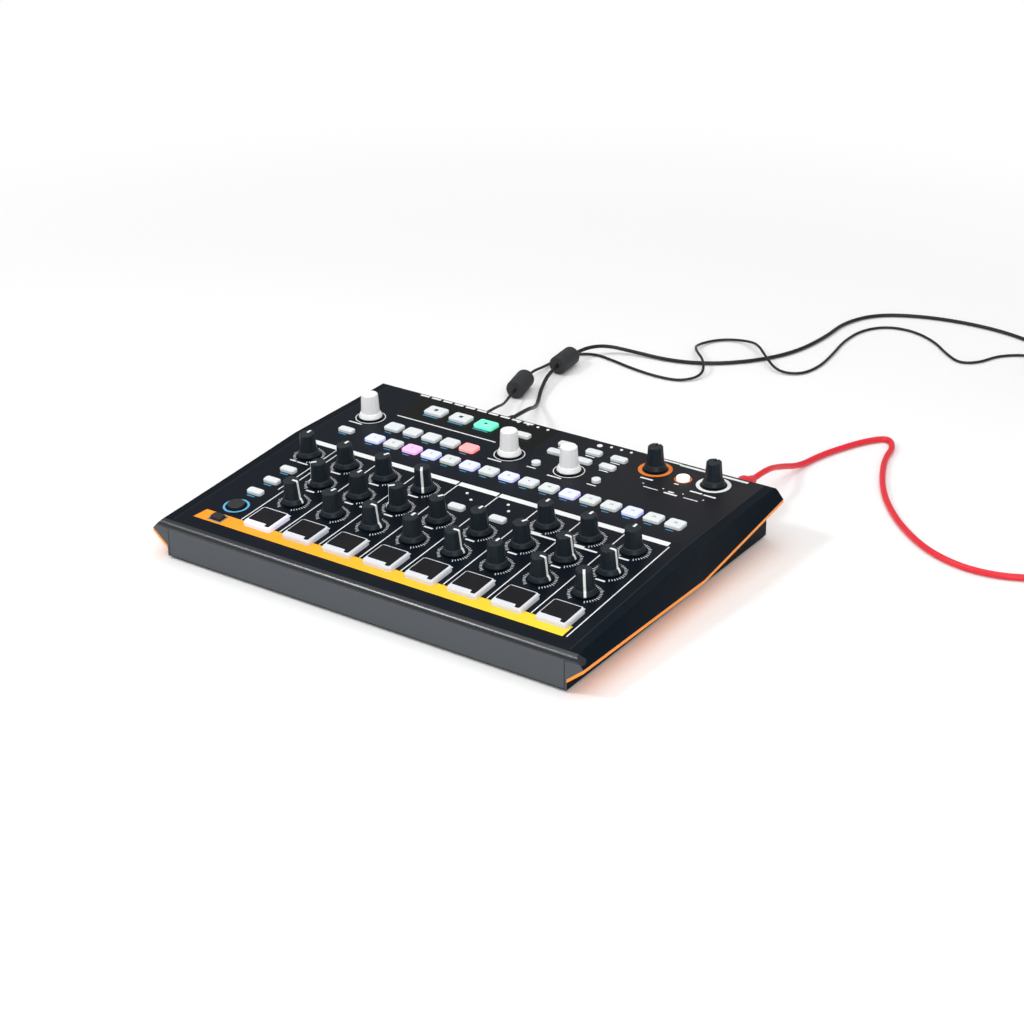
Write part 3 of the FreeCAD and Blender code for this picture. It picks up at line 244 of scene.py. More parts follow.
def panel_slope(distance):
    return FRONT_SLOPE if distance < KINK_AT else REAR_SLOPE


def panel_height(distance):
    if distance < KINK_AT:
        return FOOT_HEIGHT + FRONT_HEIGHT + FRONT_SLOPE * distance
    return FOOT_HEIGHT + KINK_HEIGHT + REAR_SLOPE * (distance - KINK_AT)


def on_panel(x, distance, turn=0.0):
    """Function that takes a point in millimetres from a spot on the panel to metres."""
    slope = panel_slope(distance)
    scale = 1 / math.sqrt(1 + slope * slope)
    origin = Vector((x, distance - DEPTH / 2, panel_height(distance)))
    along = Vector((0, scale, slope * scale))
    normal = Vector((0, -slope * scale, scale))
    angle = math.radians(-turn)
    cosine = math.cos(angle)
    sine = math.sin(angle)

    def place(u, v, w):
        across = cosine * u - sine * v
        back = sine * u + cosine * v
        return (origin + Vector((across, 0, 0)) + along * back + normal * w) * MM

    return place


def row(x, distance, z):
    """Row-frame point in metres of a place given in millimetres."""
    return Vector((x * MM, (distance - DEPTH / 2) * MM, z * MM))


# Mesh building

class Builder:
    """Collects closed solids and writes them as one mesh."""

    def __init__(self):
        self.verts = []
        self.faces = []

    def prism(self, outline, low, high, place):
        """Solid between two heights over an outline that runs anticlockwise."""
        first = len(self.verts)
        count = len(outline)
        for w in (low, high):
            for u, v in outline:
                self.verts.append(place(u, v, w))
        self.faces.append([first + count + i for i in range(count)])
        self.faces.append([first + i for i in reversed(range(count))])
        for i in range(count):
            j = (i + 1) % count
            self.faces.append([first + i, first + j, first + count + j, first + count + i])

    def ring(self, inner, outer, low, high, place, start=0.0, sweep=360.0, steps=48):
        """Flat ring, or part of one when the sweep is under a full turn."""
        first = len(self.verts)
        closed = sweep >= 360.0
        stops = steps if closed else steps + 1
        for i in range(stops):
            angle = math.radians(start + sweep * i / steps)
            for radius, w in ((inner, low), (outer, low), (outer, high), (inner, high)):
                self.verts.append(place(radius * math.cos(angle), radius * math.sin(angle), w))
        for i in range(steps):
            a = first + 4 * i
            b = first + 4 * ((i + 1) % stops)
            for k in range(4):
                m = (k + 1) % 4
                self.faces.append([a + k, a + m, b + m, b + k])
        if not closed:
            last = first + 4 * (stops - 1)
            self.faces.append([first, first + 3, first + 2, first + 1])
            self.faces.append([last, last + 1, last + 2, last + 3])

    def text(self, body, size, low, high, place):
        """Plain figures, centred."""
        curve = bpy.data.curves.new("figures", "FONT")
        curve.body = body
        curve.size = size
        curve.align_x = "CENTER"
        curve.align_y = "CENTER"
        curve.extrude = (high - low) / 2
        holder = bpy.data.objects.new("figures", curve)
        mesh = holder.to_mesh()
        first = len(self.verts)
        middle = (low + high) / 2
        for vertex in mesh.vertices:
            self.verts.append(place(vertex.co.x, vertex.co.y, vertex.co.z + middle))
        for polygon in mesh.polygons:
            self.faces.append([first + i for i in polygon.vertices])
        holder.to_mesh_clear()
        bpy.data.objects.remove(holder)
        bpy.data.curves.remove(curve)

    def write(self, name, material, body, slot):
        mesh = bpy.data.meshes.new(name)
        mesh.from_pydata(self.verts, [], self.faces)
        work = bmesh.new()
        work.from_mesh(mesh)
        bmesh.ops.recalc_face_normals(work, faces=work.faces)
        work.to_mesh(mesh)
        work.free()
        mesh.materials.append(material)
        piece = bpy.data.objects.new(name, mesh)
        bpy.context.scene.collection.objects.link(piece)
        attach(piece, body)
        return piece


def rectangle(x0, x1, y0, y1):
    return [(x0, y0), (x1, y0), (x1, y1), (x0, y1)]


def rounded(points, radius, steps=4):
    """Outline with its corners rounded."""
    result = []
    count = len(points)
    for i in range(count):
        before = Vector(points[i - 1])
        here = Vector(points[i])
        after = Vector(points[(i + 1) % count])
        start = here + (before - here).normalized() * radius
        stop = here + (after - here).normalized() * radius
        for k in range(steps + 1):
            t = k / steps
            spot = start * (1 - t) ** 2 + here * (2 * t * (1 - t)) + stop * t * t
            result.append((spot.x, spot.y))
    return result


# Shader node groups

def new_group(name, inputs, outputs):
    group = bpy.data.node_groups.new(name, "ShaderNodeTree")
    for label, kind, value in inputs:
        socket = group.interface.new_socket(name=label, in_out="INPUT", socket_type=kind)
        if value is not None:
            socket.default_value = value
    for label, kind in outputs:
        group.interface.new_socket(name=label, in_out="OUTPUT", socket_type=kind)
    start = group.nodes.new("NodeGroupInput")
    end = group.nodes.new("NodeGroupOutput")
    return group, start, end


def math_node(tree, operation, first, second=None):
    node = tree.nodes.new("ShaderNodeMath")
    node.operation = operation
    for index, value in enumerate((first, second)):
        if value is None:
            continue
        if isinstance(value, (int, float)):
            node.inputs[index].default_value = value
        else:
            tree.links.new(value, node.inputs[index])
    return node.outputs[0]


def make_grain_group():
    """Fine moulded or sprayed grain: a value and a bumped normal."""
    group, start, end = new_group(
        "surface_grain",
        [("Vector", "NodeSocketVector", None), ("Scale", "NodeSocketFloat", 2500.0),
         ("Height", "NodeSocketFloat", 0.00002)],
        [("Value", "NodeSocketFloat"), ("Normal", "NodeSocketVector")])
    noise = group.nodes.new("ShaderNodeTexNoise")
    noise.inputs["Detail"].default_value = 3.0
    noise.inputs["Roughness"].default_value = 0.6
    bump = group.nodes.new("ShaderNodeBump")
    bump.inputs["Strength"].default_value = 0.6
    group.links.new(start.outputs["Vector"], noise.inputs["Vector"])
    group.links.new(start.outputs["Scale"], noise.inputs["Scale"])
    group.links.new(noise.outputs["Fac"], bump.inputs["Height"])
    group.links.new(start.outputs["Height"], bump.inputs["Distance"])
    group.links.new(noise.outputs["Fac"], end.inputs["Value"])
    group.links.new(bump.outputs["Normal"], end.inputs["Normal"])
    return group


def make_edge_group():
    """Mask that is bright along worn edges."""
    group, start, end = new_group(
        "edge_wear",
        [("Vector", "NodeSocketVector", None), ("Radius", "NodeSocketFloat", 0.0004),
         ("Amount", "NodeSocketFloat", 0.3)],
        [("Mask", "NodeSocketFloat")])
    bevel = group.nodes.new("ShaderNodeBevel")
    bevel.samples = 4
    group.links.new(start.outputs["Radius"], bevel.inputs["Radius"])
    geometry = group.nodes.new("ShaderNodeNewGeometry")
    dot = group.nodes.new("ShaderNodeVectorMath")
    dot.operation = "DOT_PRODUCT"
    group.links.new(bevel.outputs["Normal"], dot.inputs[0])
    group.links.new(geometry.outputs["Normal"], dot.inputs[1])
    bend = math_node(group, "SUBTRACT", 1.0, dot.outputs["Value"])
    sharp = math_node(group, "MULTIPLY", bend, 6.0)
    noise = group.nodes.new("ShaderNodeTexNoise")
    noise.inputs["Scale"].default_value = 260.0
    group.links.new(start.outputs["Vector"], noise.inputs["Vector"])
    broken = math_node(group, "MULTIPLY", sharp, noise.outputs["Fac"])
    scaled = math_node(group, "MULTIPLY", broken, start.outputs["Amount"])
    held = math_node(group, "MINIMUM", scaled, 1.0)
    group.links.new(held, end.inputs["Mask"])
    return group


def make_dust_group():
    """Mask of thin dust on faces that look up."""
    group, start, end = new_group(
        "settled_dust",
        [("Vector", "NodeSocketVector", None), ("Amount", "NodeSocketFloat", 0.05)],
        [("Mask", "NodeSocketFloat")])
    geometry = group.nodes.new("ShaderNodeNewGeometry")
    split = group.nodes.new("ShaderNodeSeparateXYZ")
    group.links.new(geometry.outputs["Normal"], split.inputs["Vector"])
    up = math_node(group, "MAXIMUM", split.outputs["Z"], 0.0)
    noise = group.nodes.new("ShaderNodeTexNoise")
    noise.inputs["Scale"].default_value = 90.0
    noise.inputs["Detail"].default_value = 6.0
    group.links.new(start.outputs["Vector"], noise.inputs["Vector"])
    patch = math_node(group, "POWER", noise.outputs["Fac"], 2.0)
    lying = math_node(group, "MULTIPLY", up, patch)
    scaled = math_node(group, "MULTIPLY", lying, start.outputs["Amount"])
    group.links.new(scaled, end.inputs["Mask"])
    return group


def make_zone_group():
    """Mask of an upright box seen from above, with soft edges."""
    group, start, end = new_group(
        "zone_mask",
        [("Vector", "NodeSocketVector", None), ("Low X", "NodeSocketFloat", 0.0),
         ("High X", "NodeSocketFloat", 1.0), ("Low Y", "NodeSocketFloat", 0.0),
         ("High Y", "NodeSocketFloat", 1.0), ("Soft", "NodeSocketFloat", 0.0002)],
        [("Mask", "NodeSocketFloat")])
    split = group.nodes.new("ShaderNodeSeparateXYZ")
    group.links.new(start.outputs["Vector"], split.inputs["Vector"])
    parts = []
    for axis in ("X", "Y"):
        above = math_node(group, "SUBTRACT", split.outputs[axis], start.outputs["Low " + axis])
        below = math_node(group, "SUBTRACT", start.outputs["High " + axis], split.outputs[axis])
        least = math_node(group, "MINIMUM", above, below)
        steep = math_node(group, "DIVIDE", least, start.outputs["Soft"])
        raised = math_node(group, "MAXIMUM", steep, 0.0)
        parts.append(math_node(group, "MINIMUM", raised, 1.0))
    both = math_node(group, "MULTIPLY", parts[0], parts[1])
    group.links.new(both, end.inputs["Mask"])
    return group


GROUPS = {}
MATERIALS = {}


def shared_group(name):
    makers = {"grain": make_grain_group, "edge": make_edge_group, "dust": make_dust_group,
              "zone": make_zone_group}
    if name not in GROUPS:
        GROUPS[name] = makers[name]()
    return GROUPS[name]


def add_group(tree, name, coordinates, **values):
    node = tree.nodes.new("ShaderNodeGroup")
    node.node_tree = shared_group(name)
    tree.links.new(coordinates, node.inputs["Vector"])
    for label, value in values.items():
        node.inputs[label.replace("_", " ")].default_value = value
    return node


def mix_colour(tree, factor, first, second):
    node = tree.nodes.new("ShaderNodeMix")
    node.data_type = "RGBA"
    if isinstance(factor, float):
        node.inputs["Factor"].default_value = factor
    else:
        tree.links.new(factor, node.inputs["Factor"])
    for socket, value in ((node.inputs["A"], first), (node.inputs["B"], second)):
        if isinstance(value, (tuple, list)):
            socket.default_value = (*value, 1.0)
        else:
            tree.links.new(value, socket)
    return node.outputs["Result"]


def material(name, colour, roughness=0.5, metallic=0.0, specular=0.5, grain=(2500.0, 0.00002),
             wear=0.0, wear_colour=(0.3, 0.3, 0.3), dust=0.02, glow=None, glow_power=1.0,
             soft=0.0, coat=0.0, coat_roughness=0.03):
    """Procedural material: a base colour with grain, worn edges and dust."""
    if name in MATERIALS:
        return MATERIALS[name]
    made = bpy.data.materials.new(name)
    made.use_nodes = True
    tree = made.node_tree
    shader = tree.nodes["Principled BSDF"]
    coordinates = tree.nodes.new("ShaderNodeTexCoord").outputs["Object"]
    grain_node = add_group(tree, "grain", coordinates, Scale=grain[0], Height=grain[1])
    tree.links.new(grain_node.outputs["Normal"], shader.inputs["Normal"])
    darker = tuple(c * 0.92 for c in colour)
    tone = mix_colour(tree, grain_node.outputs["Value"], darker, colour)
    if wear:
        edge = add_group(tree, "edge", coordinates, Amount=wear)
        tone = mix_colour(tree, edge.outputs["Mask"], tone, wear_colour)
    if dust:
        settled = add_group(tree, "dust", coordinates, Amount=dust)
        tone = mix_colour(tree, settled.outputs["Mask"], tone, (0.5, 0.49, 0.47))
    tree.links.new(tone, shader.inputs["Base Color"])
    shader.inputs["Roughness"].default_value = roughness
    shader.inputs["Metallic"].default_value = metallic
    shader.inputs["Specular IOR Level"].default_value = specular
    shader.inputs["Coat Weight"].default_value = coat
    shader.inputs["Coat Roughness"].default_value = coat_roughness
    if soft:
        shader.inputs["Subsurface Weight"].default_value = soft
        shader.inputs["Subsurface Radius"].default_value = (0.002, 0.002, 0.0024)
    if glow:
        facing = tree.nodes.new("ShaderNodeLayerWeight")
        facing.inputs["Blend"].default_value = 0.5
        light = mix_colour(tree, facing.outputs["Facing"], glow[0], glow[1])
        tree.links.new(light, shader.inputs["Emission Color"])
        shader.inputs["Emission Strength"].default_value = glow_power
    MATERIALS[name] = made
    return made


def object_coordinates(tree):
    """Coordinate socket that a material's own nodes already read."""
    return [n for n in tree.nodes if n.bl_idname == "ShaderNodeTexCoord"][0].outputs["Object"]


def panel_material():
    """Near-black sprayed paint with a gloss field at the rear left, and a painted sheen that lightens it
    towards the rear right.
    """
    made = material("panel_paint", (0.0024, 0.0055, 0.011), roughness=0.45, specular=0.09,
                    grain=(2200.0, 0.00003), wear=0.12, wear_colour=(0.12, 0.13, 0.15), dust=0.006)
    tree = made.node_tree
    if "zone" in tree.nodes:
        return made
    shader = tree.nodes["Principled BSDF"]
    coordinates = object_coordinates(tree)
    gloss = add_group(tree, "zone", coordinates, Low_X=-0.115, High_X=-0.0055,
                      Low_Y=(191.0 - DEPTH / 2) * MM, High_Y=(226.0 - DEPTH / 2) * MM)
    gloss.name = "zone"
    # Painted sheen: a mask that grows towards the rear right, where the flatter rear of the panel catches
    # the light.
    painted_sheen = add_group(tree, "zone", coordinates, Low_X=-0.02, High_X=0.5, Low_Y=-0.02,
                     High_Y=0.3, Soft=0.12)
    tone = shader.inputs["Base Color"].links[0].from_socket
    # Painted sheen colour: a lighter warm grey mixed over the paint.
    tone = mix_colour(tree, painted_sheen.outputs["Mask"], tone, (0.019, 0.018, 0.021))
    tone = mix_colour(tree, gloss.outputs["Mask"], tone, (0.0008, 0.0012, 0.0014))
    tree.links.new(tone, shader.inputs["Base Color"])
    rough = tree.nodes.new("ShaderNodeMapRange")
    rough.inputs["To Min"].default_value = 0.42
    rough.inputs["To Max"].default_value = 0.12
    tree.links.new(gloss.outputs["Mask"], rough.inputs["Value"])
    tree.links.new(rough.outputs["Result"], shader.inputs["Roughness"])
    return made


def front_reflection_material():
    """Front face: the near-black panel paint turned grey as a painted reflection of the bright floor, with
    near-black seams beside the cheeks and a painted shadow along the lower edge.
    """
    # Painted reflection: the grey base colour stands in for the bright floor reflected in the front face.
    made = material("front_painted_reflection", (0.07, 0.079, 0.09), roughness=0.45, specular=0.3,
                    grain=(2200.0, 0.00003), wear=0.1, wear_colour=(0.2, 0.21, 0.22), dust=0.0)
    tree = made.node_tree
    shader = tree.nodes["Principled BSDF"]
    coordinates = object_coordinates(tree)
    split = tree.nodes.new("ShaderNodeSeparateXYZ")
    tree.links.new(coordinates, split.inputs["Vector"])
    across = math_node(tree, "ABSOLUTE", split.outputs["X"])
    beside = math_node(tree, "ABSOLUTE", math_node(tree, "SUBTRACT", across, PANEL_HALF * MM))
    seam = math_node(tree, "LESS_THAN", beside, 0.0003)
    # Painted shadow: a near-black band along the foot of the front face, where shade falls under the case.
    low = math_node(tree, "LESS_THAN", split.outputs["Z"], (FOOT_HEIGHT + 0.6) * MM)
    seams_and_painted_shadow = math_node(tree, "MAXIMUM", seam, low)
    tone = shader.inputs["Base Color"].links[0].from_socket
    # One near-black colour for the real seams and for the painted shadow at the foot.
    tone = mix_colour(tree, seams_and_painted_shadow, tone, (0.004, 0.005, 0.006))
    tree.links.new(tone, shader.inputs["Base Color"])
    return made


def strip_material():
    """Printed strip that runs from orange at the left to yellow at the right."""
    made = material("strip_print", (1.0, 0.4, 0.02), roughness=0.5, specular=0.3, dust=0.0)
    tree = made.node_tree
    shader = tree.nodes["Principled BSDF"]
    coordinates = object_coordinates(tree)
    split = tree.nodes.new("ShaderNodeSeparateXYZ")
    tree.links.new(coordinates, split.inputs["Vector"])
    span = tree.nodes.new("ShaderNodeMapRange")
    span.inputs["From Min"].default_value = -0.137
    span.inputs["From Max"].default_value = 0.135
    tree.links.new(split.outputs["X"], span.inputs["Value"])
    tone = mix_colour(tree, span.outputs["Result"], (1.0, 0.33, 0.012), (1.0, 0.7, 0.03))
    tree.links.new(tone, shader.inputs["Base Color"])
    return made


def white_print():
    return material("white_print", (0.86, 0.88, 0.88), roughness=0.55, specular=0.3, dust=0.0)


def dark_print():
    return material("dark_print", (0.02, 0.02, 0.025), roughness=0.6, specular=0.2, dust=0.0)


def orange_print():
    return material("orange_print", (0.85, 0.22, 0.03), roughness=0.5, specular=0.3, dust=0.0)


def paint(name, made):
    """Give a whole CAD node one material."""
    mesh = NODES[name].data
    mesh.materials.clear()
    mesh.materials.append(made)


def paint_parts(piece, base, rules):
    """Give a piece a base material, and others to faces whose centre meets a rule."""
    mesh = piece.data
    mesh.materials.clear()
    mesh.materials.append(base)
    for made, _ in rules:
        mesh.materials.append(made)
    for polygon in mesh.polygons:
        polygon.material_index = 0
        for index, (_, test) in enumerate(rules):
            if test(polygon.center):
                polygon.material_index = index + 1


def near(x, distance, reach):
    """Test for a point within a reach, in millimetres, of a spot seen from above."""
    def test(centre):
        return math.hypot(centre.x / MM - x, centre.y / MM - (distance - DEPTH / 2)) < reach
    return test


# Case

def dress_case():
    cheek = material("cheek_paint", (0.0022, 0.0065, 0.0115), roughness=0.45, specular=0.06,
                     grain=(1800.0, 0.00003), wear=0.1, wear_colour=(0.1, 0.11, 0.12), dust=0.006)
    # Grey painted reflection for the front faces of the panel and of both cheeks.
    front = front_reflection_material()
    bend = material("bend_paint", (0.004, 0.007, 0.012), roughness=0.4, specular=0.3,
                    grain=(2200.0, 0.00001), dust=0.0, coat=1.0, coat_roughness=0.24)
    shoulder = FOOT_HEIGHT + FRONT_HEIGHT - FRONT_BEND

    def at_front(centre):
        return centre.y < (-DEPTH / 2 + 0.02) * MM

    def on_bend(centre):
        return (centre.y < (-DEPTH / 2 + FRONT_BEND) * MM and centre.z > shoulder * MM
                and not at_front(centre))

    for name, base in (("top_panel", panel_material()), ("right_cheek", cheek),
                       ("left_cheek", cheek)):
        paint_parts(NODES[name], base, [(front, at_front), (bend, on_bend)])
    paint("base_tray", material("tray_metal", (0.018, 0.018, 0.021), roughness=0.5, specular=0.3,
                                grain=(2600.0, 0.00003), wear=0.15))
    paint("cheek_liners", material("liner_orange", (1.0, 0.32, 0.03), roughness=0.4,
                                   specular=0.3, grain=(1500.0, 0.00001)))
    paint("rubber_feet", material("foot_rubber", (0.02, 0.02, 0.02), roughness=0.85,
                                  specular=0.2, grain=(3500.0, 0.00006)))
    paint("screws", material("screw_steel", (0.28, 0.28, 0.29), roughness=0.3, metallic=1.0,
                             grain=(900.0, 0.00001), wear=0.3))
    paint("circuit_boards", material("board_green", (0.02, 0.12, 0.045), roughness=0.35,
                                     grain=(700.0, 0.00002)))
    paint("potentiometers", material("pot_metal", (0.55, 0.55, 0.52), roughness=0.35,
                                     metallic=1.0, grain=(1200.0, 0.00001)))
    paint("switches", material("switch_black", (0.03, 0.03, 0.03), roughness=0.6))
    seam = Builder()
    for x in (-PANEL_HALF, PANEL_HALF):
        for start, stop in ((6.0, 130.8), (131.2, 224.0)):
            seam.prism(rectangle(-0.3, 0.3, 0.0, stop - start), -0.02, 0.04, on_panel(x, start))
    seam.write("panel_seams", dark_print(), "case", "panel_paint")


# Print on the panel

def bar(builder, x0, x1, distance, width, rise):
    builder.prism(rounded(rectangle(x0, x1, -width / 2, width / 2), min(0.3, width / 3)),
                  PRINT_LOW, rise, on_panel(0.0, distance))


def line_back(builder, x, start, stop, width, rise):
    """Line running from front to back, cut where the panel bends."""
    spans = [(start, stop)]
    if start < KINK_AT < stop:
        spans = [(start, KINK_AT - 0.1), (KINK_AT + 0.1, stop)]
    for a, b in spans:
        builder.prism(rectangle(-width / 2, width / 2, 0.0, b - a), PRINT_LOW, rise, on_panel(x, a))


def tick_ring(builder, x, distance, inner, outer, rise):
    """Marks round a dial, over three hundred degrees."""
    for step in range(31):
        turn = -150 + 10 * step
        long = 0.5 if step % 5 == 0 else 0.0
        builder.prism(rectangle(-0.26, 0.26, inner, outer + long), PRINT_LOW, rise,
                      on_panel(x, distance, turn))


def print_strip(rise):
    builder = Builder()
    place = on_panel(0.0, 20.3)
    builder.prism([(-137.0, -5.7), (-127.1, -5.7), (-127.1, 5.1), (-135.4, 5.1)], PRINT_LOW, rise, place)
    builder.prism([(-117.3, -5.7), (134.4, -5.7), (134.4, 5.1), (-117.3, 5.1)], PRINT_LOW, rise, place)
    builder.prism(rectangle(-127.1, -117.3, 3.9, 5.1), PRINT_LOW, rise, place)
    builder.prism(rectangle(-127.1, -117.3, -5.7, -3.7), PRINT_LOW, rise, place)
    builder.write("colour_strip", strip_material(), "case", "panel_paint")


def print_panel(settings):
    rise = settings.rise / MM
    thick = settings.bar / MM
    thin = settings.line / MM
    print_strip(rise)
    white = Builder()
    for column in [SIDE_COLUMN] + COLUMNS:
        bar(white, max(column - 15.0, -133.8), column + 14.2, 127.2, thick, rise)
        line_back(white, column + 15.6, 15.2 if column > 120.0 else 25.8, 125.2, thin, rise)
    bar(white, 56.5, 103.3, 98.8, 1.6, rise)
    bar(white, -111.3, -31.7, 188.3, 1.1, rise)
    bar(white, 73.2, 87.0, 223.4, 1.6, rise)
    bar(white, 86.6, 135.2, 222.6, 2.2, rise)
    for index, column in enumerate(COLUMNS):
        bar(white, column + 2.4, column + 9.4, 43.6, 1.3, rise)
        bar(white, column - 3.2, column + 3.3, 74.0, 1.4, rise)
        if index not in (3, 4):
            bar(white, column - 4.5, column + 3.0, 100.4, 1.4, rise)
    bar(white, -53.8, -48.0, 74.1, 1.4, rise)
    bar(white, -130.9, -126.0, 100.4, 1.2, rise)
    bar(white, -125.1, -116.4, 100.2, 1.2, rise)
    line_back(white, -112.2, 66.0, 125.2, thin, rise)
    for x0, x1, distance, width in (
            (82.5, 92.9, 184.5, 0.8), (97.6, 106.8, 184.0, 1.6), (99.3, 103.3, 186.5, 1.4),
            (111.3, 121.5, 184.2, 0.8), (94.2, 95.2, 188.2, 1.0), (108.3, 109.3, 188.2, 1.0),
            (79.8, 80.8, 188.2, 1.0), (122.9, 123.9, 187.6, 1.0), (74.3, 83.3, 194.6, 1.5),
            (110.2, 118.8, 194.3, 1.5), (119.9, 128.5, 193.9, 1.5), (96.6, 99.8, 198.0, 1.2)):
        bar(white, x0, x1, distance, width, rise)
    for x, distance in ((31.6, 202.8), (50.6, 202.6), (50.2, 189.6), (10.4, 203.2), (8.6, 169.8),
                        (54.2, 169.0)):
        bar(white, x - 3.4, x + 3.4, distance, 1.0, rise)
    for _, x, distance in ENCODERS:
        bar(white, x - 8.5, x + 2.0, distance - 12.2, 1.2, rise)
    for x in [-118.0 + 9.4 * i for i in range(10)]:
        bar(white, x, x + 7.4, 223.6, 2.0, rise)
    white.ring(8.6, 11.0, PRINT_LOW, rise, on_panel(118.4, 209.0))
    for _, x, distance in ENCODERS:
        white.ring(9.6, 10.2, PRINT_LOW, rise, on_panel(x, distance))
    white.write("white_print", white_print(), "case", "panel_paint")
    ticks = Builder()
    for _, x, distance, _ in POINTED_DIALS:
        tick_ring(ticks, x, distance, 8.6, 10.3, rise)
    ticks.write("dial_ticks", material("grey_print", (0.72, 0.75, 0.77), roughness=0.55,
                                       specular=0.3, dust=0.0), "case", "panel_paint")
    rings = Builder()
    rings.ring(8.4, 11.0, PRINT_LOW, rise, on_panel(76.4, 209.0))
    rings.ring(4.9, 5.6, PRINT_LOW, rise, on_panel(*LIT_SPOT))
    rings.write("orange_rings", orange_print(), "case", "panel_paint")
    blue = Builder()
    blue.ring(7.0, 8.4, PRINT_LOW, rise, on_panel(*TAP_SPOT))
    blue.write("blue_ring", material("blue_print", (0.13, 0.46, 0.75), roughness=0.5,
                                     specular=0.3, dust=0.0), "case", "panel_paint")
    teal = Builder()
    for x, distance in STEP_SPOTS + MODE_SPOTS:
        bar(teal, x - 2.6, x + 2.6, distance - 7.4, 0.9, rise)
    for x, distance in ((-122.2, 88.4), (-122.2, 72.2), (-122.2, 56.2), (-124.6, 150.8)):
        bar(teal, x - 3.0, x + 3.0, distance - 4.8, 1.2, rise)
    for x, distance in TRANSPORT_SPOTS:
        bar(teal, x - 6.0, x + 6.0, distance - 7.2, 1.4, rise)
    teal.write("teal_marks", material("teal_print", (0.05, 0.27, 0.45), roughness=0.5,
                                      specular=0.3, dust=0.0), "case", "panel_paint")
    bezel = Builder()
    place = on_panel(*SLOT_SPOT)
    for outline in (rectangle(-4.6, 4.6, 3.4, 4.2), rectangle(-4.6, 4.6, -4.3, -3.4),
                    rectangle(-5.4, -4.6, -4.3, 4.2), rectangle(4.6, 5.5, -4.3, 4.2)):
        bezel.prism(outline, 0.01, 0.2, place)
    bezel.write("slot_bezel", material("bezel_grey", (0.32, 0.29, 0.26), roughness=0.45,
                                       metallic=0.2), "case", "socket_black")


# Dials

def pointer_outline(tall, low_r, top_r, skirt_r, base=0.8):
    """Side outline of a pointer that runs over the top, down the barrel and out on the skirt."""
    flat = math.cos(math.radians(15))
    top = base + tall
    outer = [(0.9, top + 0.1), (top_r * flat - 0.42, top + 0.1), (top_r * flat + 0.1, top - 0.42),
             (low_r * flat - 0.05, base + 3.75), (low_r + 0.55, base + 3.12),
             (skirt_r + 0.08, base + 1.12), (skirt_r + 0.08, base + 0.5)]
    inner = [(skirt_r - 0.4, base + 0.5), (skirt_r - 0.5, base + 1.0), (low_r + 0.1, base + 2.6),
             (low_r * flat - 0.6, base + 3.4), (top_r * flat - 0.5, top - 0.8),
             (top_r * flat - 0.8, top - 0.3), (0.9, top - 0.3)]
    return outer + inner


def dress_dials(settings):
    black = material("knob_black", (0.012, 0.019, 0.025), roughness=0.42, specular=0.2,
                     grain=(1600.0, 0.00002), wear=0.25, wear_colour=(0.12, 0.13, 0.14))
    white = material("knob_white", (0.95, 0.95, 0.95), roughness=0.4, specular=0.4,
                     grain=(1600.0, 0.00001), dust=0.01)
    inlay = material("pointer_white", (0.88, 0.9, 0.88), roughness=0.45, dust=0.0)
    outline = pointer_outline(15.4, 5.9, 4.9, 7.3)
    half = settings.pointer / MM / 2
    for name, x, distance, turn in POINTED_DIALS:
        paint(name, black)
        place = on_panel(x, distance, turn)
        builder = Builder()
        builder.prism(outline, -half, half, lambda a, b, c: place(c, a, b))
        builder.write(name + "_pointer", inlay, name, "knob_white")
    for name, _, _ in NOTCHED_DIALS:
        paint(name, black)
    for name, x, distance in ENCODERS:
        paint(name, white)


# Buttons

